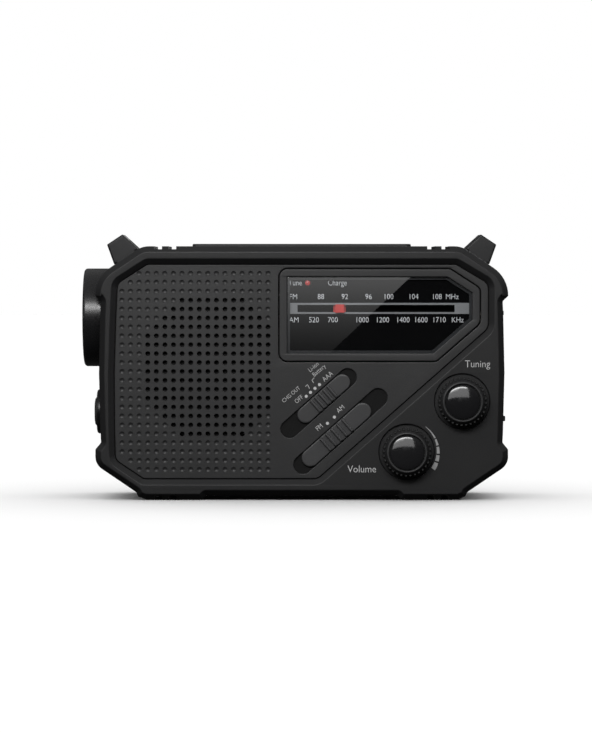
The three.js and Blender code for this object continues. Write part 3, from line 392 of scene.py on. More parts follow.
def buildSoundTree(sizes):
    # a grid of round holes in the middle of a grid of shallow dimples
    tree = newTree("soundHoles", sizes)
    start = tree.nodes[tree["start"]].outputs
    spread = [maths(tree, "MULTIPLY", maths(tree, "SUBTRACT", start[n], 1.0), start[p])
              for n, p in (("Columns", "Pitch X"), ("Rows", "Pitch Z"))]
    grid = nodeIn(tree, "GeometryNodeMeshGrid", {
        "Size X": spread[0], "Size Y": spread[1], "Vertices X": start["Columns"],
        "Vertices Y": start["Rows"]})
    upright = nodeIn(tree, "GeometryNodeTransform", {
        "Geometry": grid.outputs[0], "Translation": start["Middle"], "Rotation": (pi / 2, 0, 0)})
    place = nodeIn(tree, "ShaderNodeSeparateXYZ", {0: nodeIn(tree, "GeometryNodeInputPosition").outputs[0]})
    centre = nodeIn(tree, "ShaderNodeSeparateXYZ", {0: start["Speaker"]})
    middle = nodeIn(tree, "ShaderNodeSeparateXYZ", {0: start["Middle"]})

    def steps(axis, pitch, origin):
        away = maths(tree, "SUBTRACT", place.outputs[axis], origin.outputs[axis])
        return maths(tree, "ABSOLUTE", maths(tree, "DIVIDE", away, start[pitch]))

    across, upward = steps(0, "Pitch X", centre), steps(2, "Pitch Z", centre)
    reach = maths(tree, "LESS_THAN", maths(tree, "MAXIMUM", across, upward), start["Reach"])
    cornered = maths(tree, "LESS_THAN", maths(tree, "ADD", across, upward), start["Corner Reach"])
    isOpen = maths(tree, "MULTIPLY", reach, cornered)
    fromLeft = maths(tree, "DIVIDE", maths(tree, "SUBTRACT", place.outputs[0], start["Left"]),
                     start["Pitch X"])
    fromEnd = maths(tree, "SUBTRACT", start["Half Rows"], steps(2, "Pitch Z", middle))
    missing = maths(tree, "LESS_THAN", maths(tree, "ADD", fromLeft, fromEnd), 1.5)
    kept = nodeIn(tree, "GeometryNodeDeleteGeometry", {"Geometry": upright.outputs[0], "Selection": missing})
    split = nodeIn(tree, "GeometryNodeSeparateGeometry", {"Geometry": kept.outputs[0], "Selection": isOpen})
    drill = nodeIn(tree, "GeometryNodeMeshCylinder", {
        "Vertices": 16, "Radius": start["Hole Radius"], "Depth": 0.008})
    drills = nodeIn(tree, "GeometryNodeInstanceOnPoints", {
        "Points": split.outputs[0], "Instance": drill.outputs[0], "Rotation": (pi / 2, 0, 0)})
    ball = nodeIn(tree, "GeometryNodeMeshUVSphere",
                  {"Segments": 14, "Rings": 15, "Radius": start["Dimple Ball"]})
    balls = nodeIn(tree, "GeometryNodeInstanceOnPoints", {
        "Points": split.outputs[1], "Instance": ball.outputs[0], "Rotation": (pi / 2, 0, 0)})
    lowered = nodeIn(tree, "GeometryNodeTranslateInstances", {
        "Instances": balls.outputs[0], "Translation": start["Ball Shift"], "Local Space": False})
    plate = start["Geometry"]
    for tools in (drills, lowered):
        real = nodeIn(tree, "GeometryNodeRealizeInstances", {"Geometry": tools.outputs[0]})
        cutting = nodeIn(tree, "GeometryNodeMeshBoolean", solver="MANIFOLD", operation="DIFFERENCE")
        tree.links.new(plate, cutting.inputs["Mesh 1"])
        tree.links.new(real.outputs[0], cutting.inputs["Mesh 2"])
        plate = cutting.outputs[0]
    endTree(tree, plate, start["Material"])
    return tree


# finishes
def newMaterial(name):
    material = bpy.data.materials.new(name)
    material.use_nodes = True
    tree = material.node_tree
    return material, tree, tree.nodes["Principled BSDF"]


def objectNoise(tree, scale, detail=2.0, stretch=(1, 1, 1)):
    where = nodeIn(tree, "ShaderNodeTexCoord").outputs["Object"]
    mapped = nodeIn(tree, "ShaderNodeMapping", {"Vector": where, "Scale": stretch})
    noise = nodeIn(tree, "ShaderNodeTexNoise",
                   {"Vector": mapped.outputs[0], "Scale": scale, "Detail": detail})
    return noise.outputs["Fac"]


def spread(tree, value, low, high, fromLow=0.3, fromHigh=0.7):
    ranged = nodeIn(tree, "ShaderNodeMapRange", {
        "Value": value, "From Min": fromLow, "From Max": fromHigh, "To Min": low, "To Max": high})
    return ranged.outputs[0]


def tint(tree, value, dark, light):
    mix = nodeIn(tree, "ShaderNodeMix", data_type="RGBA")
    tree.links.new(value, mix.inputs["Factor"])
    mix.inputs[6].default_value = (*dark, 1)
    mix.inputs[7].default_value = (*light, 1)
    return mix.outputs[2]


def mouldedPlastic(name, dark, light, roughness, grain=0.00045, bump=0.00002, specular=0.5,
                   stretch=(1, 1, 1)):
    material, tree, shader = newMaterial(name)
    broad = objectNoise(tree, 35, 3)
    fine = objectNoise(tree, 1 / grain, 3, stretch)
    tree.links.new(tint(tree, spread(tree, broad, 0, 1), dark, light), shader.inputs["Base Color"])
    tree.links.new(spread(tree, fine, roughness - 0.06, roughness + 0.06), shader.inputs["Roughness"])
    raised = nodeIn(tree, "ShaderNodeBump", {"Height": fine, "Distance": bump, "Strength": 1.0})
    tree.links.new(raised.outputs[0], shader.inputs["Normal"])
    shader.inputs["Specular IOR Level"].default_value = specular
    return material


def wornMetal(name, dark, light, roughness, brush=(1, 1, 1), grain=0.0004):
    material, tree, shader = newMaterial(name)
    streak = objectNoise(tree, 1 / grain, 4, brush)
    tree.links.new(tint(tree, spread(tree, streak, 0, 1), dark, light), shader.inputs["Base Color"])
    tree.links.new(spread(tree, streak, roughness * 0.7, roughness * 1.3), shader.inputs["Roughness"])
    raised = nodeIn(tree, "ShaderNodeBump", {"Height": streak, "Distance": 0.000004, "Strength": 1.0})
    tree.links.new(raised.outputs[0], shader.inputs["Normal"])
    shader.inputs["Metallic"].default_value = 1.0
    return material


def wovenCloth(name, dark, light):
    material, tree, shader = newMaterial(name)
    where = nodeIn(tree, "ShaderNodeTexCoord").outputs["Object"]
    threads = []
    for axis in ("X", "Z"):
        wave = nodeIn(tree, "ShaderNodeTexWave", {"Vector": where, "Scale": 450.0, "Distortion": 0.6},
                      wave_type="BANDS", bands_direction=axis)
        threads.append(wave.outputs["Fac"])
    weave = maths(tree, "MAXIMUM", *threads)
    tree.links.new(tint(tree, weave, dark, light), shader.inputs["Base Color"])
    raised = nodeIn(tree, "ShaderNodeBump", {"Height": weave, "Distance": 0.0001, "Strength": 0.8})
    tree.links.new(raised.outputs[0], shader.inputs["Normal"])
    shader.inputs["Roughness"].default_value = 0.9
    return material


def clearPlastic(name, clearTint, gloss):
    # a thin clear moulding: gloss by angle over what lies behind it
    material, tree, shader = newMaterial(name)
    tree.nodes.remove(shader)
    fine = objectNoise(tree, 400, 1)
    through = nodeIn(tree, "ShaderNodeBsdfTransparent", {"Color": (*clearTint, 1)})
    shine = nodeIn(tree, "ShaderNodeBsdfGlossy", {"Color": (1, 1, 1, 1)})
    tree.links.new(spread(tree, fine, 0.0, 0.003), shine.inputs["Roughness"])
    edge = nodeIn(tree, "ShaderNodeFresnel", {"IOR": gloss})
    # only the near side mirrors, or the far side would shut off slanting light
    farSide = nodeIn(tree, "ShaderNodeNewGeometry").outputs["Backfacing"]
    share = maths(tree, "MULTIPLY", edge.outputs[0], maths(tree, "SUBTRACT", 1.0, farSide))
    mix = nodeIn(tree, "ShaderNodeMixShader", {0: share, 1: through.outputs[0], 2: shine.outputs[0]})
    tree.links.new(mix.outputs[0], tree.nodes["Material Output"].inputs["Surface"])
    return material


def cellLabel(name, sleeve, band, along, edge):
    # a printed sleeve with a darker band at one end
    material, tree, shader = newMaterial(name)
    place = nodeIn(tree, "ShaderNodeSeparateXYZ", {0: nodeIn(tree, "ShaderNodeTexCoord").outputs["Object"]})
    past = maths(tree, "GREATER_THAN", place.outputs[along], edge)
    shade = spread(tree, objectNoise(tree, 60), 0.9, 1.0)
    both = tint(tree, past, sleeve, band)
    scaled = nodeIn(tree, "ShaderNodeVectorMath", {0: both, "Scale": shade}, operation="SCALE")
    tree.links.new(scaled.outputs[0], shader.inputs["Base Color"])
    shader.inputs["Roughness"].default_value = 0.3
    return material


def circuitBoard(name):
    material, tree, shader = newMaterial(name)
    where = nodeIn(tree, "ShaderNodeTexCoord").outputs["Object"]
    cells = nodeIn(tree, "ShaderNodeTexVoronoi", {"Vector": where, "Scale": 260.0}, distance="MANHATTAN",
                   feature="F1")
    tracks = maths(tree, "LESS_THAN", cells.outputs["Distance"], 0.32)
    tree.links.new(tint(tree, tracks, (0.01, 0.09, 0.035), (0.02, 0.16, 0.06)), shader.inputs["Base Color"])
    raised = nodeIn(tree, "ShaderNodeBump", {"Height": tracks, "Distance": 0.00003, "Strength": 1.0})
    tree.links.new(raised.outputs[0], shader.inputs["Normal"])
    shader.inputs["Roughness"].default_value = 0.35
    return material


def solarWafer(name):
    # dark blue silicon with a faint change of shade from cell to cell
    material, tree, shader = newMaterial(name)
    flakes = objectNoise(tree, 160, 4, (1, 0.4, 1))
    tree.links.new(tint(tree, spread(tree, flakes, 0, 1), (0.004, 0.007, 0.025), (0.010, 0.018, 0.055)),
                   shader.inputs["Base Color"])
    tree.links.new(spread(tree, objectNoise(tree, 30), 0.22, 0.30), shader.inputs["Roughness"])
    shader.inputs["Coat Weight"].default_value = 0.15
    shader.inputs["Coat Roughness"].default_value = 0.05
    return material


plastics = {
    "case": mouldedPlastic("casePlastic", (0.0070, 0.0070, 0.0075), (0.0088, 0.0088, 0.0092), 0.50,
                           specular=0.4),
    "panel": mouldedPlastic("panelPlastic", (0.0115, 0.0115, 0.012), (0.0145, 0.0145, 0.015), 0.48,
                            grain=0.0006, bump=0.00003),
    "slider": mouldedPlastic("sliderPlastic", (0.032, 0.032, 0.033), (0.038, 0.038, 0.039), 0.42),
    "gloss": mouldedPlastic("capPlastic", (0.006, 0.006, 0.0065), (0.008, 0.008, 0.0085), 0.10,
                            bump=0.0000008),
    "satin": mouldedPlastic("torchRingPlastic", (0.007, 0.007, 0.0075), (0.009, 0.009, 0.0095), 0.28,
                            bump=0.000004),
    "dialBlack": mouldedPlastic("dialBlack", (0.0012, 0.0012, 0.0014), (0.0018, 0.0018, 0.002), 0.55,
                                bump=0.000004, specular=0.05),
    # painted shade: near-black finish for the sheets in the switch wells and behind the dial's pointer slot
    "well": mouldedPlastic("wellBlack", (0.003, 0.003, 0.003), (0.004, 0.004, 0.004), 0.7, specular=0.2),
    "white": mouldedPlastic("whitePlastic", (0.60, 0.60, 0.57), (0.68, 0.68, 0.65), 0.45),
    "red": mouldedPlastic("redPlastic", (0.62, 0.055, 0.05), (0.70, 0.075, 0.065), 0.35),
    "print": mouldedPlastic("printedInk", (0.40, 0.40, 0.40), (0.47, 0.47, 0.47), 0.6, bump=0.000003),
    "dialPrint": mouldedPlastic("printedDialInk", (0.80, 0.80, 0.80), (0.86, 0.86, 0.86), 0.6, bump=0.000003),
    "dimPrint": mouldedPlastic("printedScaleInk", (0.24, 0.24, 0.24), (0.28, 0.28, 0.28), 0.6, bump=0.000003),
    "rubber": mouldedPlastic("blackRubber", (0.012, 0.012, 0.0125), (0.016, 0.016, 0.0165), 0.72,
                             grain=0.0007),
    "paper": mouldedPlastic("conePaper", (0.020, 0.020, 0.021), (0.032, 0.032, 0.033), 0.85, grain=0.0009,
                            bump=0.00006),
}
metals = {
    "steel": wornMetal("pressedSteel", (0.45, 0.46, 0.47), (0.62, 0.63, 0.64), 0.32),
    "chrome": wornMetal("polishedChrome", (0.72, 0.73, 0.74), (0.80, 0.81, 0.82), 0.09, brush=(0.05, 1, 1)),
    "brass": wornMetal("drawnBrass", (0.58, 0.40, 0.16), (0.72, 0.52, 0.24), 0.3, brush=(1, 0.1, 1)),
    "mirror": wornMetal("mirroredReflector", (0.82, 0.83, 0.84), (0.88, 0.89, 0.90), 0.06, grain=0.003),
    "contact": wornMetal("printedSilver", (0.55, 0.56, 0.58), (0.70, 0.71, 0.73), 0.35),
}
others = {
    "clear": clearPlastic("clearPlastic", (0.96, 0.97, 0.98), 1.49),
    "coated": clearPlastic("coatedWindow", (0.96, 0.97, 0.98), 2.3),
    "cloth": wovenCloth("speakerCloth", (0.003, 0.003, 0.003), (0.012, 0.012, 0.012)),
    "thread": mouldedPlastic("cordThread", (0.50, 0.48, 0.42), (0.66, 0.64, 0.58), 0.7, grain=0.0012,
                             bump=0.0001),
    "board": circuitBoard("circuitBoard"),
    "wafer": solarWafer("solarWafer"),
    "lamp": mouldedPlastic("lampPhosphor", (0.75, 0.68, 0.30), (0.85, 0.78, 0.42), 0.4),
    "aaa": cellLabel("aaaSleeve", (0.10, 0.16, 0.20), (0.50, 0.36, 0.12), 0, middleX - 0.036),
    "lithium": cellLabel("lithiumSleeve", (0.03, 0.10, 0.30), (0.02, 0.05, 0.14), 0, middleX + 0.05),
}
print("finishes made:", len(plastics) + len(metals) + len(others))

rowTree = buildRowTree()
ringTree = buildRingTree()
placesTree = buildPlacesTree()


# casing
casing = {
    "height": 101.5,
    "bumper": 82.8,
    "waist": 80.5,
    "crown": 1.35,
    "run": 18.85,
    "rise": 12.6,
    "front": -28.0,
    "back": 28.0,
    "wall": 2.8,
    "chamfer": 2.2,
    "chamferDepth": 2.6,
    "footInner": 40.0,
    "footHeight": 1.6,
    "footEnd": 62.6,
    "seam": 0.15,
    "recess": 1.8,
    "slantWidth": 2.1,
}


def mirrored(right):
    return [(x, z, r) for x, z, r in right] + [(-x, z, r) for x, z, r in reversed(right)]


def casingOutline():
    c = casing
    right = [
        (c["footInner"] - c["footHeight"], c["footHeight"], 0.4),
        (c["footInner"], 0, 0.5),
        (c["footEnd"], 0, 1.2),
        (c["footEnd"] + 3, 1.2, 0.8),
        (c["footEnd"] + 3.8, 2.9, 1.2),
        (c["bumper"], 14, 6),
        (c["bumper"] - 0.06, 20.1, 0.9),
        (c["waist"], 22.8, 1.2),
        (c["waist"] + c["crown"], c["height"] / 2, 500),
        (c["waist"], c["height"] - 22, 1.2),
        (c["bumper"] - 0.06, c["height"] - 19.9, 0.9),
        (c["bumper"], c["height"] - c["rise"], 13.4),
        (c["bumper"] - c["run"], c["height"], 9),
    ]
    return polygon(mirrored(right))


def cavityOutline():
    c = casing
    drop = (c["bumper"] - c["waist"]) * c["rise"] / c["run"]
    right = [
        (c["bumper"] - c["run"], c["footHeight"], 0),
        (c["waist"], c["footHeight"] + c["rise"] - drop, 0),
        (c["waist"], c["height"] - c["rise"] + drop, 0),
        (c["bumper"] - c["run"], c["height"], 0),
    ]
    return polygon(insetCorners(mirrored(right), c["wall"]))


panel = {"left": -75.0, "right": 75.0, "top": 94.4, "bottom": 8.1, "deckStart": 6.5, "deckEnd": 68.6,
         "thickness": 2.0}
panelFace = casing["front"] + casing["recess"]
panelBack = panelFace + panel["thickness"]
ledgeFace = panelBack + 0.3
panelCorners = [
    (panel["left"] + 11.6, panel["bottom"], 3),
    (panel["deckStart"], panel["bottom"], 5),
    (panel["right"], panel["deckEnd"], 5),
    (panel["right"], panel["top"] - 7.8, 4),
    (panel["right"] - 13.1, panel["top"], 3),
    (panel["left"] + 13.1, panel["top"], 3),
    (panel["left"] + 1, panel["top"] - 7.8, 4),
    (panel["left"] - 0.7, casing["height"] / 2, 600),
    (panel["left"] + 0.1, panel["bottom"] + 7.7, 4),
]
tuningPlace = (64.2, 39.4)
volumePlace = (42.0, 19.2)
knobDish = {"radius": 11.2, "depth": 1.2, "bore": 3.5}


def chamferedFront(front, size, depth, seam):
    soft = 0.35
    return [
        (size + soft, front), (size + 0.1, front + 0.03), (size - 0.12, front + 0.16),
        (0.16, front + depth - 0.2), (0.04, front + depth + 0.05), (0, front + depth + soft),
        (0, seam - 0.25), (0.22, seam),
    ]


def treadTools():
    tools = []
    for side in (-1, 1):
        for k in range(2):
            middle = side * (casing["bumper"] - 28.1 + 2.85 - k * 5.7)
            tools.append(block(middle - 1.6, middle + 1.6, -30, 30, casing["height"] - 1.2, 104))
            tools.append(block(middle - 1.6, middle + 1.6, -30, 30, -1, 1.7))
    return tools


def onShoulder(side, u, n):
    c = casing
    along = Vector((c["run"], -c["rise"])).normalized()
    x = c["bumper"] - c["run"] / 2 - 2.7 + u * along.x - n * along.y
    z = c["height"] - c["rise"] / 2 + 1.8 + u * along.y + n * along.x
    return (side * x, z)


def shoulderShape(side, places, radius=0):
    corners = [(*onShoulder(side, u, n), radius) for u, n in places]
    return polygon(corners if side > 0 else corners[::-1])


def sharedTools():
    tools = treadTools()
    tools.append(moulding(rectangle(-44.3, 44.3, -17.3, 17.3, 1.0), [(0, 99.9), (0, 104)], lay="top"))
    tools.append(turned([(0, -90), (20.2, -90), (20.2, -74.5), (0, -74.5)], (0, 72.7), "x"))
    tools.append(turned([(0, -100), (7.8, -100), (7.8, -76), (0, -76)], (0, 34.4), "x"))
    for side in (-1, 1):
        reach = 11.7 / 2 - 1.6 + 0.3
        for y0, y1 in ((-12.3, -8.7), (8.7, 12.3)):
            hole = shoulderShape(side, [(-reach, -9), (reach, -9), (reach, 3), (-reach, 3)])
            tools.append(moulding(hole, [(0, y0), (0, y1)]))
    return tools


cover = {"y": -6.7, "z": 59.0, "width": 12.0, "height": 34.0, "thickness": 1.8, "face": 80.9}
siren = {"y": -7.5, "z": 31.8, "travel": 2.0, "face": 82.5}


def sideTools():
    y0, y1 = cover["y"] - cover["width"] / 2, cover["y"] + cover["width"] / 2
    z0, z1 = cover["z"] - cover["height"] / 2, cover["z"] + cover["height"] / 2
    seat = cover["face"] - cover["thickness"] - 0.3
    reach = siren["travel"] + 1.9
    return [
        moulding(rectangle(y0 - 0.3, y1 + 0.3, z0 - 0.3, z1 + 0.3, 0.6), [(0, seat), (0, 90)], lay="side"),
        moulding(rectangle(y0 + 1.5, y1 - 1.5, z0 + 2.5, z1 - 2.5), [(0, 70), (0, seat + 1)], lay="side"),
        moulding(rectangle(siren["y"] - reach, siren["y"] + reach, siren["z"] - 1.4, siren["z"] + 1.4, 0.7),
                 [(0, 70), (0, 90)], lay="side"),
    ]


def buildFrontCase():
    c = casing
    bm = bmesh.new()
    outer = sweep(bm, casingOutline(), chamferedFront(c["front"], c["chamfer"], c["chamferDepth"],
                                                      -c["seam"]))
    slant = c["slantWidth"]
    windowEdge = [
        (-slant - 0.25, c["front"]), (-slant - 0.05, c["front"] + 0.04), (-slant + 0.1, c["front"] + 0.15),
        (-0.15, panelFace - 0.15), (0, panelFace), (0, ledgeFace), (1.8, ledgeFace), (1.8, ledgeFace + 1.9),
    ]
    window = sweep(bm, polygon(panelCorners), windowEdge)
    inner = ledgeFace + 1.9
    floor = c["front"] + knobDish["depth"]
    fronts, backs = [outer[0], window[0]], [window[-1]]
    for x, z in (tuningPlace, volumePlace):
        wide, bore = circle(x, z, knobDish["radius"]), circle(x, z, knobDish["bore"])
        wall = sweep(bm, wide, [(-0.35, c["front"]), (-0.1, c["front"] + 0.06), (0, c["front"] + 0.35),
                                (0, floor - 0.3), (0.3, floor)])
        hole = sweep(bm, bore, [(0, floor), (0, inner)])
        cap(bm, wall[-1], hole[0])
        fronts.append(wall[0])
        backs.append(hole[-1])
    cavity = sweep(bm, cavityOutline(), [(0, inner), (0, -c["seam"])])
    cap(bm, *fronts)
    cap(bm, cavity[0], *backs)
    cap(bm, outer[-1], cavity[-1])
    made = objectFrom(bm, "frontShell")
    carve(made, sharedTools() + sideTools())
    return dress(made, plastics["case"], "root", replaces=["front_case"], slot="case_plastic")


buildFrontCase()
print("front case built")

screwPlaces = [(-57, 86), (59, 86), (-73.5, 16.5), (73, 16.5)]
crank = {
    "x": 27.0, "z": 48.2, "dish": 40.0, "floor": 18.0, "half": 9.0, "reach": 28.5, "front": 18.4,
    "back": 27.2, "slotHalf": 5.3, "pivotReach": 33.0, "grip": 4.4, "shaft": 3.5,
}
battery = {"left": -70.5, "right": -24.5, "bottom": 27.0, "top": 60.5, "floor": 15.2}
aerial = {"x": 70.0, "y": 23.6, "z": 94.5, "shelf": 90.3, "front": 19.0, "radius": 3.4}


def rod(x, z, y0, y1, radius, sides=48):
    return turned([(0, y0), (radius, y0), (radius, y1), (0, y1)], (x, z), "y", sides)


def buildRearCase():
    c = casing
    bevel = chamferedFront(c["front"], c["chamfer"], c["chamferDepth"], -c["seam"])
    back = [(inset, -y) for inset, y in reversed(bevel)]
    made = objectFrom(moulding(casingOutline(), back), "rearShell")
    hollow = objectFrom(moulding(cavityOutline(), [(0, -1), (0, c["back"] - c["wall"])]), "hollow")
    a, k, b = aerial, crank, battery
    carve(hollow, [
        block(-120, 120, a["front"] - 2, 40, a["shelf"] - 2, 120),
        rod(k["x"], k["z"], k["floor"] - 2.2, 40, k["dish"] + 2.2, 96),
        block(b["left"] - 2.4, b["right"] + 2.4, b["floor"] - 2.4, 40, b["bottom"] - 2.4, b["top"] + 2.4),
    ])
    combine(made, hollow)
    carve(made, [rod(x, z, c["seam"], 25.8, 3.7) for x, z in screwPlaces], "UNION")
    radius, floor, face = k["dish"], k["floor"], c["back"]
    dishTool = turned([
        (0, floor), (radius - 1.2, floor), (radius - 0.35, floor + 0.35), (radius, floor + 1.2),
        (radius, face - 0.7), (radius + 0.2, face - 0.2), (radius + 0.7, face), (radius + 0.7, 40), (0, 40)],
        (k["x"], k["z"]), "y", 128)
    tools = [
        dishTool,
        block(-120, 120, a["front"], 40, a["shelf"], 120),
        rod(k["x"], k["z"], floor - 5, floor + 1, k["shaft"] + 0.3),
        block(b["left"], b["right"], b["floor"], 40, b["bottom"], b["top"], 0.0, 0.8),
        block(b["left"] - 1.3, b["right"] + 1.3, face - 2, 40, b["bottom"] - 1.5, b["top"] + 1.5, 0.0, 1.2),
        rod(a["x"], a["z"], a["front"] - 5, a["front"] + 1, 2.1),
    ]
    for x, z in screwPlaces:
        tools.append(turned([(0, 24.8), (3.3, 24.8), (3.3, 27.6), (3.7, 28.05), (3.7, 40), (0, 40)], (x, z),
                            "y", 48))
        tools.append(rod(x, z, -1, 40, 1.7))
    carve(made, tools + sharedTools())
    return dress(made, plastics["case"], "root", replaces=["rear_case"], slot="case_plastic")


buildRearCase()
print("rear case built")

# front panel with its sound holes and slide switch wells
switchSlope = 41.7
power = {"place": (6.75, 38.6), "well": 15.6, "wellRadius": 3.64, "at": 2.8, "pad": 9.8, "padRadius": 3.3,
         "ribs": 5, "pitch": 2.2}
band = {"place": (15.5, 27.4), "well": 20.2, "wellRadius": 3.8, "at": -2.1, "pad": 14.0, "padRadius": 3.5,
        "ribs": 5, "pitch": 2.9}
dial = {
    "left": -9.0, "right": 71.4, "top": 92.4, "bottom": 55.4, "cutRight": 59.3, "cutTop": 84.6,
    "slopeTop": 70.6,
    "slopeRight": 53.9, "frame": 3.1, "proud": 0.6, "slot": (-1.7, 61.3, 75.1, 78.0),
}
dialCorners = [
    (dial["left"], dial["bottom"], 3.3),
    (dial["slopeRight"], dial["bottom"], 3),
    (dial["right"], dial["slopeTop"], 4),
    (dial["right"], dial["cutTop"], 3),
    (dial["cutRight"], dial["top"], 3),
    (dial["left"], dial["top"], 3.3),
]
sound = {
    "columns": 18, "rows": 23, "pitchX": 3.44, "pitchZ": 3.57, "left": -72.0, "top": 90.6, "speakerX": -35.9,
    "speakerZ": 53.1, "hole": 1.0, "dimple": 1.05, "dimpleDepth": 0.35, "reach": 7.6, "corner": 11.2,
}


def buildPanel():
    outline = polygon(insetCorners(panelCorners, 0.3))
    bm = bmesh.new()
    outer = sweep(bm, outline, softFront(panelFace, 0.3, 3) + [(0, panelBack)])
    fronts, backs = [outer[0]], [outer[-1]]
    dialHole = polygon(insetCorners(dialCorners, -0.3))
    rings = sweep(bm, dialHole, [(-0.45, panelFace), (-0.15, panelFace + 0.08), (0, panelFace + 0.4),
                                 (0, panelBack)])
    fronts.append(rings[0])
    backs.append(rings[-1])
    for switch in (power, band):
        well = stadium(switch["place"], -switch["well"], switch["well"], switch["wellRadius"], switchSlope)
        edge = [(-0.25, panelFace), (-0.07, panelFace + 0.06), (0, panelFace + 0.25), (0, panelFace + 0.85),
                (0.15, panelFace + 1)]
        slit = sloped(switch["place"], switch["at"], 0, 6.4, 1.3, switchSlope)
        wall = sweep(bm, well, edge)
        hole = sweep(bm, slit, [(0, panelFace + 1), (0, panelBack)])
        cap(bm, wall[-1], hole[0])
        fronts.append(wall[0])
        backs.append(hole[-1])
    cap(bm, *fronts)
    cap(bm, *backs)
    made = objectFrom(bm, "grillePanel")
    s = sound
    middle = (s["left"] + s["pitchX"] * (s["columns"] - 1) / 2, s["top"] - s["pitchZ"] * (s["rows"] - 1) / 2)
    ball = (s["dimple"] ** 2 + s["dimpleDepth"] ** 2) / (2 * s["dimpleDepth"])
    sizes = {
        "Columns": s["columns"], "Rows": s["rows"], "Pitch X": s["pitchX"] * mm, "Pitch Z": s["pitchZ"] * mm,
        "Middle": tuple(toFrame @ Vector((middle[0], panelFace, middle[1]))),
        "Speaker": tuple(toFrame @ Vector((s["speakerX"], 0, s["speakerZ"]))),
        "Left": (toFrame @ Vector((s["left"], 0, 0))).x, "Half Rows": (s["rows"] - 1) / 2,
        "Hole Radius": s["hole"] * mm, "Dimple Ball": ball * mm,
        "Ball Shift": (0.0, -(ball - s["dimpleDepth"]) * mm, 0.0),
        "Reach": s["reach"], "Corner Reach": s["corner"], "Material": plastics["panel"],
    }
    runTree(buildSoundTree(sizes), made, sizes)
    return dress(made, plastics["panel"], "root", replaces=["front_panel"], slot="panel_plastic")


buildPanel()


def buildWellShades():
    # painted shade: near-black sheets laid on the floors of the switch wells, which the switch pads slide
    # over
    for switch, name in ((power, "powerWellFloor"), (band, "bandWellFloor")):
        well = stadium(switch["place"], -switch["well"], switch["well"], switch["wellRadius"] - 0.2,
                       switchSlope)
        slit = sloped(switch["place"], switch["at"], 0, 6.4, 1.3, switchSlope)
        edge = [(0, panelFace + 0.9), (0, panelFace + 0.98)]
        piece(moulding(well, edge, [(slit, edge, False)]), name, plastics["well"], "root",
              slot="panel_plastic")


buildWellShades()
print("front panel built")


# dial
def buildDial():
    front = panelFace - dial["proud"]
    plate = panelBack + 0.3
    ringEdge = softFront(front, 0.45, 4) + [(0, panelBack)]
    step = dial["frame"]
    lensSeat = polygon(insetCorners(dialCorners, step))
    view = polygon(insetCorners(dialCorners, step + 1.2))
    bm = bmesh.new()
    outer = sweep(bm, polygon(dialCorners), ringEdge)
    seat = sweep(bm, lensSeat, [(-0.3, front), (-0.08, front + 0.08), (0, front + 0.3), (0, front + 1.8)])
    hole = sweep(bm, view, [(0, front + 1.8), (0, panelBack)])
    cap(bm, outer[0], seat[0])
    cap(bm, seat[-1], hole[0])
    cap(bm, outer[-1], hole[-1])
    piece(bm, "dialFrame", plastics["panel"], "root", replaces=["dial_bezel"], slot="panel_plastic")
    lens = moulding(polygon(insetCorners(dialCorners, step + 0.15)),
                    softFront(front + 0.2, 0.1, 2) + [(0, front + 1.5)])
    piece(lens, "dialWindow", others["coated"], "root", replaces=["dial_lens"], slot="clear_plastic",
          edgeAngle=10)
    # painted shade: a near-black matt strip shuts off the inside behind the pointer's slot
    strip = block(-6, 66, -18.2, -17.9, 70, 83)
    piece(strip, "dialBacking", plastics["well"], "root", slot="panel_plastic")
    # the lamp in the tuning corner
    lamp = turned([(0, plate - 0.75), (0.6, plate - 0.7), (1.0, plate - 0.5), (1.1, plate - 0.2),
                   (1.1, plate + 3), (0, plate + 3)],
                  (2.4, 86.8), "y", 48)
    piece(lamp, "tuningLamp", plastics["red"], "root", replaces=["tune_lamp"], slot="red_plastic")


buildDial()


# printed marks: flat letters a few hundredths of a millimetre proud
def letters(text, x, z, y, height, slope=0.0, align="LEFT", squeeze=1.0, lift=0.04):
    curve = bpy.data.curves.new("letters", "FONT")
    curve.body = text
    curve.size = height / 0.682
    curve.align_x = align
    curve.extrude = lift / 2
    curve.offset = -0.008 * curve.size
    curve.resolution_u = 3
    shown = bpy.data.objects.new("letters", curve)
    scene.collection.objects.link(shown)
    mesh = evaluatedMesh(shown)
    bpy.data.objects.remove(shown)
    bm = bmesh.new()
    bm.from_mesh(mesh)
    bpy.data.meshes.remove(mesh)
    bm.transform(Matrix.Scale(squeeze, 4, (1, 0, 0)))
    sloped = Matrix.Translation((x, y, z)) @ Matrix.Rotation(-radians(slope), 4, "Y")
    bm.transform(sloped @ Matrix.Rotation(pi / 2, 4, "X"))
    bmesh.ops.remove_doubles(bm, verts=bm.verts, dist=1e-4)
    return bm


def dot(x, z, y, radius):
    return turned([(0, y - 0.02), (radius, y - 0.02), (radius, y + 0.02), (0, y + 0.02)], (x, z), "y", 24)


def line(x0, z0, x1, z1, y, width):
    along = Vector((x1 - x0, z1 - z0)).normalized() * width / 2
    side = Vector((-along.y, along.x))
    corners = [(x0 - along.x - side.x, z0 - along.y - side.y), (x1 + along.x - side.x, z1 + along.y - side.y),
               (x1 + along.x + side.x, z1 + along.y + side.y), (x0 - along.x + side.x, z0 - along.y + side.y)]
    return moulding(polygon(corners), [(0, y - 0.02), (0, y + 0.02)])


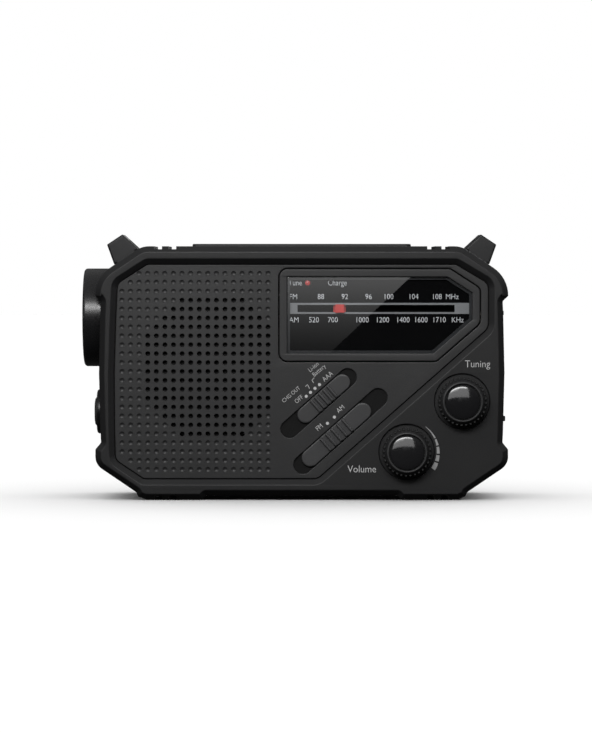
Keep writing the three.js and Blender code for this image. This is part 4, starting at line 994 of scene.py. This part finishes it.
dialPrint = {
    "height": 2.1,
    "squeeze": 0.9,
    "lampSqueeze": 0.8,
    "lamps": [("Tune", -5.3, 85.8), ("Charge", 10.4, 85.8)],
    "upper": [("FM", -5.1), ("88", 6.3), ("92", 15.9), ("96", 25.4), ("100", 32.7), ("104", 42.7),
              ("108", 52.1), ("MHz", 57.6)],
    "lower": [("AM", -5.1), ("520", 2.8), ("700", 10.4), ("1000", 21.4), ("1200", 29.6), ("1400", 37.8),
              ("1600", 45.0), ("1710", 52.3), ("KHz", 60.0)],
    "upperLine": 80.3,
    "lowerLine": 71.0,
    "bar": (-5.0, 67.5, 74.4, 78.8),
}
panelPrint = {
    "labels": [
        ("CHG OUT", -3.8, 41.6, 1.55), ("OFF", -0.6, 39.6, 1.75), ("Li-ion", 5.2, 52.6, 1.7),
        ("Battery", 7.4, 51.2, 1.7),
        ("AAA", 10.9, 48.7, 1.9), ("FM", 7.6, 28.3, 1.9), ("AM", 16.1, 35.7, 1.9),
    ],
    "slope": 40.5,
    "dots": [(1.8, 41.4), (3.5, 43.0), (5.3, 44.6), (7.1, 46.1), (10.3, 30.6), (13.1, 33.1)],
    "dotRadius": 0.62,
}
deckPrint = {"labels": [("Tuning", 70.3, 53.1, 2.75), ("Volume", 24.1, 11.0, 2.75)], "marksRadius": 12.6}


def buildPrints():
    face = panelBack + 0.3 - 0.02
    parts = [letters(text, x, z, face, 2.25, squeeze=dialPrint["lampSqueeze"])
             for text, x, z in dialPrint["lamps"]]
    for row, z in (("upper", dialPrint["upperLine"]), ("lower", dialPrint["lowerLine"])):
        parts += [letters(text, x, z, face, dialPrint["height"], squeeze=dialPrint["squeeze"])
                  for text, x in dialPrint[row]]
    piece(together(*parts), "dialLettering", plastics["dialPrint"], "root", slot="dial_print")
    x0, x1, z0, z1 = dialPrint["bar"]
    sx0, sx1, sz0, sz1 = dial["slot"]
    frameBar = moulding(rectangle(x0, x1, z0, z1), [(0, face - 0.02), (0, face + 0.02)],
                        [(rectangle(sx0, sx1, sz0, sz1), [(0, face - 0.02), (0, face + 0.02)], False)])
    piece(frameBar, "scaleBar", plastics["dimPrint"], "root", slot="dial_print")
    face = panelFace - 0.01
    parts = []
    for text, x, z, height in panelPrint["labels"]:
        parts.append(letters(text, x, z, face, height, panelPrint["slope"], "CENTER", 0.85))
    parts += [dot(x, z, face, panelPrint["dotRadius"]) for x, z in panelPrint["dots"]]
    for ends in ((1.6, 45.4, 2.3, 46.1), (2.3, 46.1, 3.1, 44.6), (4.7, 46.9, 4.1, 47.9),
                 (4.1, 47.9, 4.9, 48.8)):
        parts.append(line(*ends, face, 0.22))
    piece(together(*parts), "switchLettering", plastics["print"], "root", slot="dial_print")
    face = casing["front"] - 0.01
    parts = [letters(text, x, z, face, height, 0, "CENTER", 0.92)
             for text, x, z, height in deckPrint["labels"]]
    piece(together(*parts), "knobLettering", plastics["print"], "root", slot="dial_print")
    # a scale beside the volume knob that swells as it goes down
    parts = []
    for a0, a1 in ((53, 26), (23.5, 12), (9.5, -3), (-6, -17), (-20, -33)):
        inner, outer = [], []
        for k in range(9):
            angle = a0 + (a1 - a0) * k / 8
            width = 0.12 + 1.7 * (53 - angle) / 86
            for chain, side in ((inner, -1), (outer, 1)):
                r = deckPrint["marksRadius"] + side * width / 2
                chain.append((volumePlace[0] + r * cos(radians(angle)),
                              volumePlace[1] + r * sin(radians(angle))))
        parts.append(moulding(polygon(inner + outer[::-1]), [(0, face - 0.02), (0, face + 0.02)]))
    piece(together(*parts), "volumeMarks", plastics["dimPrint"], "root", slot="dial_print")


buildPrints()
print("dial and lettering built")

# knobs
knob = {"radius": 9.8, "core": 9.2, "teeth": 32, "length": 8.4, "rim": 8.1, "well": 7.2, "cap": 6.9,
        "toothHalf": 0.62}


def buildKnob(place, name, body, knobNode, capNode, stem):
    floor = casing["front"] + knobDish["depth"] - 0.3
    front = floor - knob["length"]
    core, rim, well = knob["core"], knob["rim"], knob["well"]
    side = [
        (core - 0.3, floor), (core, floor - 0.5), (core, front + 2.6), (core - 0.25, front + 2.0),
        (rim + 0.1, front + 0.9), (rim, front + 0.3), (rim - 0.25, front + 0.05), (well + 0.5, front),
        (well + 0.25, front + 0.05), (well, front + 0.35),
        (well, front + 2.2),
    ]
    if stem:
        profile = [(0, stem), (2.9, stem), (2.9, floor), *side, (0, front + 2.2)]
    else:
        profile = [(3.2, floor), *side, (3.2, front + 2.2)]
    skirt = turned(profile, place, "y", 128)
    made = objectFrom(skirt, name + "Skirt")
    half = knob["toothHalf"]
    outline = polygon([(core - 0.4, -half, 0), (knob["radius"] - 0.1, -half * 0.62, 0.2),
                       (knob["radius"] - 0.1, half * 0.62, 0.2), (core - 0.4, half, 0)])
    tooth = moulding(outline, [(0.25, front + 1.5), (0.06, front + 1.9), (0, front + 2.5), (0, floor - 0.3),
                               (0.2, floor - 0.05)])
    teeth = objectFrom(tooth, name + "Teeth", inFrame=False)
    centre = toFrame @ Vector((place[0], 0, place[1]))
    runTree(ringTree, teeth, {
        "Count": knob["teeth"], "Centre": (centre.x, partingY, centre.z),
        "Axis": (0.0, 1.0, 0.0), "First Turn": 0.05, "Turn": 2 * pi / knob["teeth"],
        "Material": plastics["case"]})
    dress(made, plastics["case"], body, replaces=[knobNode], slot="case_plastic")
    dress(teeth, plastics["case"], body, slot="case_plastic")
    c = knob["cap"]
    angles = [pi / 2 * k / 12 for k in range(1, 12)]
    dome = [(0, front - 0.3)] + [(c * sin(a), front - 0.3 + 1.15 * (1 - cos(a))) for a in angles]
    dome += [(c, front + 1.0), (c, front + 2.0), (0, front + 2.0)]
    piece(turned(dome, place, "y", 96), name + "Cap", plastics["gloss"], body, replaces=[capNode],
          slot="gloss_cap")


buildKnob(tuningPlace, "tuning", "tuning", "tuning_knob", "tuning_knob_cap", None)
buildKnob(volumePlace, "volume", "volume", "volume_knob", "volume_knob_cap", -19.0)
print("knobs built")


# slide switches
def buildSlider(switch, name, body, node):
    front, back = panelFace - 0.3, panelFace + 0.7
    place, at = switch["place"], switch["at"]
    pad = stadium(place, at - switch["pad"], at + switch["pad"], switch["padRadius"], switchSlope)
    base = moulding(pad, softFront(front, 0.45, 4) + softBack(back, 0.2, 2))
    stem = moulding(sloped(place, at, 0, 1.2, 0.9, switchSlope), [(0, back - 0.4), (0, -19.0)])
    made = objectFrom(base, name)
    carve(made, [stem], "UNION")
    dress(made, plastics["slider"], body, replaces=[node], slot="panel_plastic")
    count, pitch = switch["ribs"], switch["pitch"]
    first = at - (count - 1) / 2 * pitch
    ribShape = moulding(sloped(place, first, 0, 0.62, switch["padRadius"] - 0.25, switchSlope, 0.25),
                        [(0.45, front - 0.9), (0.25, front - 0.86), (0.12, front - 0.7), (0, front - 0.1),
                         (0, front + 0.4)])
    ribs = objectFrom(ribShape, name + "Ribs")
    step = Vector((cos(radians(switchSlope)), 0, sin(radians(switchSlope)))) * pitch * mm
    runTree(rowTree, ribs, {"Count": count, "Step": tuple(step), "Material": plastics["slider"]})
    dress(ribs, plastics["slider"], body, slot="panel_plastic")


buildSlider(power, "powerSlider", "power", "power_slider")
buildSlider(band, "bandSlider", "band", "band_slider")
print("sliders built")

# solar cell on the top
solar = {"half": 44.0, "depth": 34.0, "proud": 1.0, "recess": 1.6, "frame": 5.0, "fingers": 31,
         "fingerPitch": 2.3}


def buildSolar():
    s = solar
    low, high = casing["height"] - s["recess"] + 0.2, casing["height"] + s["proud"]
    half, deep = s["half"], s["depth"] / 2
    outer = rectangle(-half, half, -deep, deep, 2.0)
    well = rectangle(-half + s["frame"], half - s["frame"], -deep + s["frame"], deep - s["frame"], 1.0)
    edge = [(0, low)] + [(inset, 2 * high - y) for inset, y in reversed(softFront(high, 0.5, 4))]
    wellEdge = [(0, low + 0.8), (0, high - 0.4), (-0.15, high - 0.1), (-0.4, high)]
    bm = bmesh.new()
    body = sweep(bm, outer, edge, "top")
    hole = sweep(bm, well, wellEdge, "top")
    cap(bm, body[0], lay="top")
    cap(bm, body[-1], hole[-1], lay="top")
    cap(bm, hole[0], lay="top")
    piece(bm, "solarFrame", plastics["case"], "root", replaces=["solar_bezel"], slot="case_plastic")
    x, y = half - s["frame"] - 0.3, deep - s["frame"] - 0.3
    top = high - 0.5
    wafer = moulding(rectangle(-x, x, -y, y, 0.8), [(0, low + 1.0), (0, top - 0.05), (0.05, top)], lay="top")
    piece(wafer, "solarWafer", others["wafer"], "root", replaces=["solar_cell"], slot="solar_glass")
    finger = moulding(rectangle(-x + 2.0, -x + 2.12, -y + 1.2, y - 1.2), [(0, top - 0.02), (0, top + 0.02)],
                      lay="top")
    fingers = objectFrom(finger, "solarFingers")
    runTree(rowTree, fingers, {"Count": s["fingers"] + 2, "Step": (s["fingerPitch"] * mm, 0.0, 0.0),
                               "Material": metals["contact"]})
    dress(fingers, metals["contact"], "root", slot="steel")
    bus = moulding(rectangle(-x + 1.5, x - 1.5, -y + 3.0, -y + 3.6), [(0, top - 0.02), (0, top + 0.03)],
                   lay="top")
    buses = objectFrom(bus, "solarBusbars")
    runTree(rowTree, buses, {"Count": 3, "Step": (0.0, (2 * y - 6.6) / 2 * mm, 0.0),
                             "Material": metals["contact"]})
    dress(buses, metals["contact"], "root", slot="steel")


buildSolar()


# strap lugs on the shoulders
lug = {"root": 11.7, "tip": 7.5, "height": 8.8, "edge": 1.7, "half": 12.0, "cheek": 3.0}


def buildLug(side, name, node):
    root, tip, high = lug["root"] / 2, lug["tip"] / 2, lug["height"]
    outline = shoulderShape(side, [(-root, 0.3), (root, 0.3), (tip, high), (-tip, high)], 0.45)
    edge = softFront(-lug["half"], 0.8, 4) + softBack(lug["half"], 0.8, 4)
    made = objectFrom(moulding(outline, edge), name)
    through = high - lug["edge"] - 1.6
    window = shoulderShape(side, [(-root - 3, -2), (root + 3, -2), (root + 3, through),
                                  (-root - 3, through)], 0.6)
    inner = lug["half"] - lug["cheek"]
    carve(made, [moulding(window, [(-0.4, -inner), (0, -inner + 0.4), (0, inner - 0.4), (-0.4, inner)])])
    reach = root - 1.6
    for y0, y1 in ((-lug["half"], -inner), (inner, lug["half"])):
        leg = shoulderShape(side, [(-reach, -5), (reach, -5), (reach, 1), (-reach, 1)])
        toe = shoulderShape(side, [(-reach, -5), (reach, -5), (reach, -3.7), (-reach, -3.7)])
        carve(made, [moulding(leg, [(0, y0), (0, y1)]), moulding(toe, [(0, y0 - 1.2), (0, y1 + 1.2)])],
              "UNION")
    return dress(made, plastics["case"], "root", replaces=[node], slot="case_plastic")


buildLug(-1, "strapLugLeft", "strap_lug_left")
buildLug(1, "strapLugRight", "strap_lug_right")
print("solar cell and strap lugs built")

# torch on the left end
torch = {"z": 72.7, "radius": 19.9, "front": -88.3, "wall": 3.7, "back": -74.8}


def buildTorch():
    t = torch
    inner, r, f = t["radius"] - t["wall"], t["radius"], t["front"]
    ring = [
        (r, t["back"]), (r, f + 1.3), (r - 0.1, f + 0.8), (r - 0.4, f + 0.4), (r - 0.8, f + 0.1),
        (r - 1.3, f),
        (inner + 0.5, f), (inner + 0.1, f + 0.15), (inner, f + 0.5), (inner, f + 2.3), (inner + 1.2, f + 2.3),
        (inner + 1.2, t["back"]),
    ]
    piece(turned(ring, (0, t["z"]), "x", 128), "torchRing", plastics["satin"], "root",
          replaces=["torch_bezel"], slot="case_plastic")
    x, lens = f + 2.6, inner + 0.9
    window = [(0, x - 0.5), (lens * 0.5, x - 0.38), (lens - 1.6, x), (lens, x + 0.1), (lens, x + 1.4),
              (0, x + 1.4)]
    piece(turned(window, (0, t["z"]), "x", 96), "torchWindow", others["clear"], "root",
          replaces=["torch_lens"], slot="clear_plastic")
    front = f + 2.3 + 0.6 + 1.4
    depth, mouth, throat = 14.6, lens - 0.2, 3.2
    bowl, outside = [], []
    for k in range(25):
        share = k / 24
        r0 = throat + (mouth - throat) * share
        along = front + depth * (1 - ((r0 - throat * 0.4) / (mouth - throat * 0.4)) ** 2)
        bowl.append((r0 - (1.2 if k < 24 else 0.8), along))
        outside.append((r0, along + 0.6 if k < 24 else along))
    profile = [(max(r0, 2.9), a) for r0, a in bowl] + [(lens, front), (lens, front + 0.9)]
    profile += [(r0, a + 0.8) for r0, a in reversed(outside[:-1])]
    piece(turned(profile, (0, t["z"]), "x", 96), "torchReflector", metals["mirror"], "root",
          replaces=["torch_reflector"], slot="chrome")
    back = f + 23
    bulb = [(0, back), (5, back), (5, back - 1.2), (2.7, back - 1.2)]
    bulb += [(2.7 * cos(a), back - 4.4 - 2.4 * sin(a))
             for a in [pi / 2 * k / 8 for k in range(8)]] + [(0, back - 6.8)]
    piece(turned(bulb, (0, t["z"]), "x", 64), "torchLamp", others["lamp"], "root", replaces=["torch_lamp"],
          slot="lamp_white")


torchButton = {"z": 34.4, "radius": 6.0, "collar": 9.0, "front": -84.2}


def buildTorchButton():
    b = torchButton
    face, side, bore = b["front"] + 1, -81.45, b["radius"] + 0.3
    collar = [
        (bore, face + 0.2), (bore + 0.2, face), (b["collar"] - 0.9, face), (b["collar"] - 0.3, face + 0.2),
        (b["collar"], face + 0.8),
        (b["collar"], side), (b["collar"] - 1.5, side), (b["collar"] - 1.5, side + 4.6), (bore, side + 4.6),
    ]
    piece(turned(collar, (0, b["z"]), "x"), "torchButtonCollar", plastics["satin"], "root",
          replaces=["torch_button_collar"], slot="case_plastic")
    inside = -81.85 + 5.4
    push = [(0, b["front"] + 0.25), (3.0, b["front"] + 0.1), (4.2, b["front"]), (5.2, b["front"] + 0.2),
            (5.8, b["front"] + 0.7),
            (6.0, b["front"] + 1.3), (6.0, inside), (7.2, inside), (7.2, inside + 1.4), (0, inside + 1.4)]
    piece(turned(push, (0, b["z"]), "x"), "torchPush", plastics["rubber"], "torch_push",
          replaces=["torch_button"], slot="black_rubber")


buildTorch()
buildTorchButton()
print("torch built")


# right end: rubber cover over the sockets, and the siren slide
def buildRightEnd():
    c = cover
    y0, y1 = c["y"] - c["width"] / 2, c["y"] + c["width"] / 2
    z0, z1 = c["z"] - c["height"] / 2, c["z"] + c["height"] / 2
    plate = moulding(rectangle(y0, y1, z0, z1, 0.5),
                     [(0, c["face"] - c["thickness"]), (0, c["face"] - 0.4), (0.1, c["face"] - 0.1),
                      (0.4, c["face"])], lay="side")
    rimGroove = moulding(rectangle(y0 + 1.2, y1 - 1.2, z0 + 1.2, z1 - 3.6, 1.0),
                         [(0, c["face"] - 0.35), (0, c["face"] + 1)],
                         [(rectangle(y0 + 1.7, y1 - 1.7, z0 + 1.7, z1 - 4.1, 0.7),
                           [(0, c["face"] - 0.35), (0, c["face"] + 1)], False)], lay="side")
    tab = moulding(rectangle(y0 + 3, y1 - 3, z1 - 2.4, z1 - 0.4, 0.6),
                   [(0, c["face"] - 0.5), (0, c["face"] + 0.55), (0.12, c["face"] + 0.8),
                    (0.35, c["face"] + 0.9)], lay="side")
    made = objectFrom(plate, "portCover")
    carve(made, [rimGroove])
    carve(made, [tab], "UNION")
    dress(made, plastics["rubber"], "cover", replaces=["port_cover"], slot="black_rubber")
    s = siren
    inner = casing["waist"] - casing["wall"] - 0.3
    nub = moulding(rectangle(s["y"] - 1.6, s["y"] + 1.6, s["z"] - 1.1, s["z"] + 1.1, 0.4),
                   [(0, inner - 1), (0, s["face"] - 0.4), (0.12, s["face"] - 0.1), (0.4, s["face"])],
                   lay="side")
    keeper = moulding(rectangle(s["y"] - 5.5, s["y"] + 5.5, s["z"] - 3.2, s["z"] + 3.2, 0.4),
                      [(0, inner - 1.6), (0, inner)], lay="side")
    made = objectFrom(keeper, "sirenSlide")
    carve(made, [nub], "UNION")
    dress(made, plastics["slider"], "siren", replaces=["siren_slider"], slot="panel_plastic")


buildRightEnd()


# rear: battery door, crank and screws
def buildDoor():
    b = battery
    back = casing["back"]
    x0, x1, z0, z1 = b["left"] - 1, b["right"] + 1, b["bottom"] - 1.2, b["top"] + 1.2
    plate = moulding(rectangle(x0, x1, z0, z1, 0.9), [(0, back - 1.7)] + softBack(back, 0.35, 3))
    middle = (x0 + x1) / 2
    latch = moulding(rectangle(middle - 6, middle + 6, z1 - 3.6, z1 - 1.8, 0.8),
                     [(0, back - 0.8), (0, back + 1)])
    made = objectFrom(plate, "batteryDoor")
    carve(made, [latch])
    dress(made, plastics["case"], "door", replaces=["battery_door"], slot="case_plastic")
    rib = moulding(rectangle(middle - 8, middle + 8, z1 - 11.0, z1 - 10.2, 0.39),
                   [(0, back - 0.2), (0, back + 0.25), (0.15, back + 0.35)])
    ribs = objectFrom(rib, "batteryDoorRibs")
    runTree(rowTree, ribs, {"Count": 4, "Step": (0.0, 0.0, 1.8 * mm), "Material": plastics["case"]})
    dress(ribs, plastics["case"], "door", slot="case_plastic")


def buildCrank():
    k = crank
    x, z = k["x"], k["z"]
    bar = stadium((x - k["reach"], z), 0, k["reach"], k["half"], 0)
    made = objectFrom(moulding(bar, softFront(k["front"], 0.5, 3) + softBack(k["back"], 1.1, 5)), "crankArm")
    slotEnd = x - k["half"] - 1.2
    carve(made, [
        block(x - k["reach"] - k["half"] - 5, slotEnd, k["front"] - 1, k["back"] + 1, z - k["slotHalf"],
              z + k["slotHalf"]),
        rod(x, z, k["front"] - 1, k["back"] - 1, k["shaft"] + 0.3),
        turned([(0, z - k["half"] - 1), (1.9, z - k["half"] - 1), (1.9, z + k["half"] + 1),
                (0, z + k["half"] + 1)],
               (x - k["pivotReach"], (k["front"] + k["back"]) / 2 + 0.1), "z", 48),
        turned([(5.4, k["back"] - 0.35), (6.0, k["back"] - 0.35), (6.0, 40), (5.4, 40)], (x, z), "y", 96),
    ])
    dress(made, plastics["case"], "crank", replaces=["crank_arm"], slot="case_plastic")
    gripY, pivotX, gripEnd = (k["front"] + k["back"]) / 2 + 0.1, x - k["pivotReach"], x - k["half"] - 2.2
    start, g = pivotX + 4.4, k["grip"]
    profile = [(0, gripEnd - 1.6), (2.2, gripEnd - 1.6), (2.2, start), (g - 0.6, start),
               (g - 0.15, start + 0.2), (g, start + 0.8)]
    count = 6
    for n in range(count):
        along = start + 3 + n * (gripEnd - start - 6) / (count - 1)
        profile += [(g, along - 0.7), (g - 0.4, along - 0.3), (g - 0.4, along + 0.3), (g, along + 0.7)]
    profile += [(g, gripEnd - 0.9), (g - 0.25, gripEnd - 0.25), (g - 0.9, gripEnd), (0, gripEnd)]
    piece(turned(profile, (gripY, z), "x", 64), "crankGrip", plastics["slider"], "grip",
          replaces=["crank_grip"], slot="panel_plastic")


def buildScrews():
    head = turned([(0, -10), (1.4, -10), (1.4, 25.1), (3.0, 25.1), (3.0, 26.4), (2.7, 26.8), (2.0, 27.0),
                   (0, 27.05)], (0, 0), "y", 32)
    shape = objectFrom(head, "screwShape", inFrame=False)
    cross = [block(-1.7, 1.7, 26.0, 40, -0.3, 0.3), block(-0.3, 0.3, 26.0, 40, -1.7, 1.7)]
    carve(shape, cross, inFrame=False)
    points = bpy.data.meshes.new("screwPoints")
    points.from_pydata([tuple(toFrame @ Vector((x, 0, z))) for x, z in screwPlaces], [], [])
    made = bpy.data.objects.new("caseScrews", points)
    scene.collection.objects.link(made)
    runTree(placesTree, made, {"Shape": shape, "Material": metals["steel"]})
    bpy.data.objects.remove(shape)
    dress(made, metals["steel"], "root",
          replaces=["case_screw_1", "case_screw_2", "case_screw_3", "case_screw_4"], slot="steel")


buildDoor()
buildCrank()
buildScrews()
print("rear pieces built")


# aerial
def buildAerial():
    a = aerial
    x, y, z, r = a["x"], a["y"], a["z"], a["radius"]
    base = turned([(0, a["front"] + 0.3), (4.0, a["front"] + 0.3), (4.0, casing["back"] - 1.0),
                   (3.8, casing["back"] - 0.6),
                   (3.5, casing["back"] - 0.5), (0, casing["back"] - 0.5)], (x, z), "y", 64)
    made = objectFrom(base, "aerialBase")
    carve(made, [block(x - 9, x + 3.2, y - 3.3, casing["back"] + 2, z - 1.3, z + 1.3)])
    carve(made, [rod(x, z, a["front"] - 4.5, a["front"] + 1, 1.8)], "UNION")
    carve(made, [turned([(0, z - 3), (1.0, z - 3), (1.0, z + 3), (0, z + 3)], (x, y), "z", 32)], "UNION")
    dress(made, metals["chrome"], "aerial_swivel", replaces=["aerial_base"], slot="chrome")
    tube = turned([(0, x - 5), (r - 0.5, x - 5.1), (r, x - 5.8), (r, x - 117.6), (r - 0.3, x - 118),
                   (r - 0.45, x - 118), (r - 0.45, x - 7.5),
                   (0, x - 7.5)], (y, z), "x", 48)
    made = objectFrom(tube, "aerialOuter")
    tongue = moulding(polygon([(x - 6.5, y - 2.9), (x + 2.9, y - 2.9, 2.85), (x + 2.9, y + 2.9, 2.85),
                               (x - 6.5, y + 2.9)]),
                      [(0, z - 1), (0, z + 1)], lay="top")
    carve(made, [tongue], "UNION")
    carve(made, [turned([(0, z - 4), (1.3, z - 4), (1.3, z + 4), (0, z + 4)], (x, y), "z", 32)])
    dress(made, metals["chrome"], "aerial_outer", replaces=["aerial_section_1"], slot="chrome")
    outer, inner = r - 0.7, r - 1.1
    middle = turned([(inner, x - 9), (outer, x - 9), (outer, x - 120.8), (outer - 0.15, x - 121),
                     (inner, x - 121)], (y, z), "x", 48)
    piece(middle, "aerialMiddle", metals["chrome"], "aerial_middle", replaces=["aerial_section_2"],
          slot="chrome")
    thin = r - 1.35
    tip = turned([(0, x - 12), (thin, x - 12), (thin, x - 122.3), (r - 0.9, x - 122.5), (r - 0.2, x - 123.1),
                  (r, x - 124),
                  (r, x - 126.4), (r - 0.3, x - 127.3), (r - 1.1, x - 127.9), (0, x - 128)], (y, z), "x", 48)
    piece(tip, "aerialTip", metals["chrome"], "aerial_inner", replaces=["aerial_section_3"], slot="chrome")


buildAerial()
print("aerial built")

# finishes of the pieces that come straight from the frame
carried = {
    "dial_plate": plastics["dialBlack"], "dial_pointer": plastics["red"], "dial_cord": others["thread"],
    "cord_pulley_left": plastics["white"], "cord_pulley_right": plastics["white"],
    "tuning_drum": plastics["white"],
    "tuning_control": plastics["white"], "volume_control": metals["steel"], "power_switch": metals["steel"],
    "band_switch": metals["steel"], "speaker_cloth": others["cloth"], "speaker_basket": metals["steel"],
    "speaker_cone": plastics["paper"], "main_board": others["board"], "port_sockets": metals["steel"],
    "aaa_cell_1": others["aaa"], "aaa_cell_2": others["aaa"], "aaa_cell_3": others["aaa"],
    "lithium_cell": others["lithium"], "crank_handle": metals["steel"], "crank_gear": plastics["white"],
    "idler_gear": plastics["white"], "generator_rotor": metals["brass"], "generator_housing": metals["steel"],
    "gearbox_plate": metals["steel"],
}
for name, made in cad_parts.items():
    if made.hide_render:
        continue
    made.data.materials.clear()
    made.data.materials.append(carried[name])
print("carried pieces finished:", len(carried))

# room
room = {"floor": 6.0, "floorTone": 0.92, "seen": 1.0, "level": 0.015, "above": 1.35, "behind": 0.2,
        "mirrored": 0.15}


def buildRoom():
    half = room["floor"]
    mesh = bpy.data.meshes.new("floor")
    mesh.from_pydata([(-half, -half, -0.0002), (half, -half, -0.0002), (half, half, -0.0002),
                      (-half, half, -0.0002)],
                     [], [(0, 1, 2, 3)])
    floor = bpy.data.objects.new("floor", mesh)
    scene.collection.objects.link(floor)
    material, tree, shader = newMaterial("paleFloor")
    tone = room["floorTone"]
    shade = tint(tree, spread(tree, objectNoise(tree, 3), 0, 1), (tone,) * 3, (tone + 0.01,) * 3)
    tree.links.new(shade, shader.inputs["Base Color"])
    shader.inputs["Roughness"].default_value = 0.9
    shader.inputs["Specular IOR Level"].default_value = 0.1
    mesh.materials.append(material)
    floor.visible_diffuse = floor.visible_glossy = False  # the radio isn't lit from below
    # the room is bright above and behind, and dim on the near side
    world = bpy.data.worlds.new("paleRoom")
    world.use_nodes = True
    scene.world = world
    tree = world.node_tree
    backdrop = tree.nodes["Background"]
    backdrop.inputs["Color"].default_value = (1, 1, 1, 1)
    way = nodeIn(tree, "ShaderNodeSeparateXYZ",
                 {0: nodeIn(tree, "ShaderNodeTexCoord").outputs["Generated"]}).outputs
    above = spread(tree, way[2], 0, room["above"], 0.15, 0.7)
    behind = spread(tree, way[1], 0, room["behind"], 0.0, 0.6)
    light = maths(tree, "ADD", maths(tree, "ADD", above, behind), room["level"])
    seen = nodeIn(tree, "ShaderNodeLightPath").outputs["Is Camera Ray"]
    glossy = nodeIn(tree, "ShaderNodeLightPath").outputs["Is Glossy Ray"]
    calmed = maths(tree, "SUBTRACT", 1.0, maths(tree, "MULTIPLY", glossy, 1 - room["mirrored"]))
    unseen = maths(tree, "MULTIPLY", maths(tree, "MULTIPLY", light, calmed),
                   maths(tree, "SUBTRACT", 1.0, seen))
    both = maths(tree, "ADD", unseen, maths(tree, "MULTIPLY", seen, room["seen"]))
    tree.links.new(both, backdrop.inputs["Strength"])
    return floor


def areaLight(name, place, target, width, height, watts):
    light = bpy.data.lights.new(name, "AREA")
    light.shape = "RECTANGLE"
    light.size, light.size_y, light.energy = width, height, watts
    lamp = bpy.data.objects.new(name, light)
    scene.collection.objects.link(lamp)
    facing = (Vector(target) - Vector(place)).to_track_quat("-Z", "Y").to_matrix().to_4x4()
    lamp.matrix_world = Matrix.Translation(place) @ facing
    lamp.visible_camera = False
    return lamp


def buildCamera():
    camera = bpy.data.cameras.new("camera")
    camera.lens, camera.sensor_width = 184.0, 36.0
    camera.clip_start, camera.clip_end = 0.05, 20
    eye = bpy.data.objects.new("camera", camera)
    scene.collection.objects.link(eye)
    aim = toFrame @ Vector((-2.3, casing["front"], 53.4))
    tilt = radians(1.5)
    place = aim + Vector((0, -1.4986 * cos(tilt), 1.4986 * sin(tilt)))
    eye.matrix_world = Matrix.Translation(place) @ (aim - place).to_track_quat("-Z", "Y").to_matrix().to_4x4()
    scene.camera = eye
    return place


# a white card beside the camera, which the dial window mirrors up to a slanting edge
card = {"corners": [(-16, 96), (50.9, 96), (4.0, 52), (-16, 52)], "behind": 0.2, "bright": 0.68, "dim": 0.03}


def buildCard(eye):
    window = (toFrame @ Vector((0, panelFace - 0.4, 0))).y
    reach = (window - eye.y + card["behind"]) / (window - eye.y)
    corners = []
    for x, z in card["corners"]:
        hit = toFrame @ Vector((x, 0, z))
        corners.append((hit.x + (hit.x - eye.x) * reach, eye.y - card["behind"],
                        hit.z + (hit.z - eye.z) * reach))
    mesh = bpy.data.meshes.new("card")
    mesh.from_pydata(corners, [], [(0, 1, 2, 3)])
    board = bpy.data.objects.new("card", mesh)
    scene.collection.objects.link(board)
    material, tree, shader = newMaterial("litCard")
    tree.nodes.remove(shader)
    height = nodeIn(tree, "ShaderNodeSeparateXYZ",
                    {0: nodeIn(tree, "ShaderNodeTexCoord").outputs["Object"]}).outputs[2]
    glow = nodeIn(tree, "ShaderNodeEmission")
    share = maths(tree, "POWER", spread(tree, height, 0, 1, corners[2][2], corners[0][2]), 1.9)
    strength = spread(tree, share, card["dim"], card["bright"], 0, 1)
    tree.links.new(strength, glow.inputs["Strength"])
    tree.links.new(glow.outputs[0], tree.nodes["Material Output"].inputs["Surface"])
    mesh.materials.append(material)
    board.visible_camera = board.visible_diffuse = board.visible_shadow = False


def buildLights(floor):
    lamps = [
        areaLight("nearSoftbox", (-0.02, -0.42, 0.27), (0, -0.02, 0.07), 0.34, 0.08, 1.15),
        areaLight("highSoftbox", (-0.3, -0.9, 0.55), (0.05, 0, 0.03), 0.6, 0.4, 2.2),
        areaLight("leftStrip", (-0.9, -0.5, 0.35), (-0.08, 0, 0.06), 0.12, 0.6, 0.8),
        areaLight("rightStrip", (0.9, -0.4, 0.4), (0.08, 0, 0.06), 0.12, 0.6, 0.5),
        areaLight("rearSoftbox", (0.45, 0.95, 0.45), (0, 0, 0.05), 0.7, 0.5, 3.5),
    ]
    # a card that only the knobs catch, over the upper left half of their caps
    knobCard = areaLight("knobCard", (-0.14, -1.0, 0.41), (0.06, 0, 0.03), 0.9, 0.62, 5.5)
    knobs = bpy.data.collections.new("knobPieces")
    for name in ("tuningSkirt", "tuningTeeth", "tuningCap", "volumeSkirt", "volumeTeeth", "volumeCap"):
        knobs.objects.link(bpy.data.objects[name])
    knobCard.light_linking.receiver_collection = knobs
    unlit = bpy.data.collections.new("leftUnlit")
    unlit.objects.link(floor)
    for lamp in lamps:
        lamp.light_linking.receiver_collection = unlit
    unlit.collection_objects[0].light_linking.link_state = "EXCLUDE"


buildLights(buildRoom())
buildCard(buildCamera())
scene.view_settings.view_transform = "Standard"
print("room, lights and camera set")
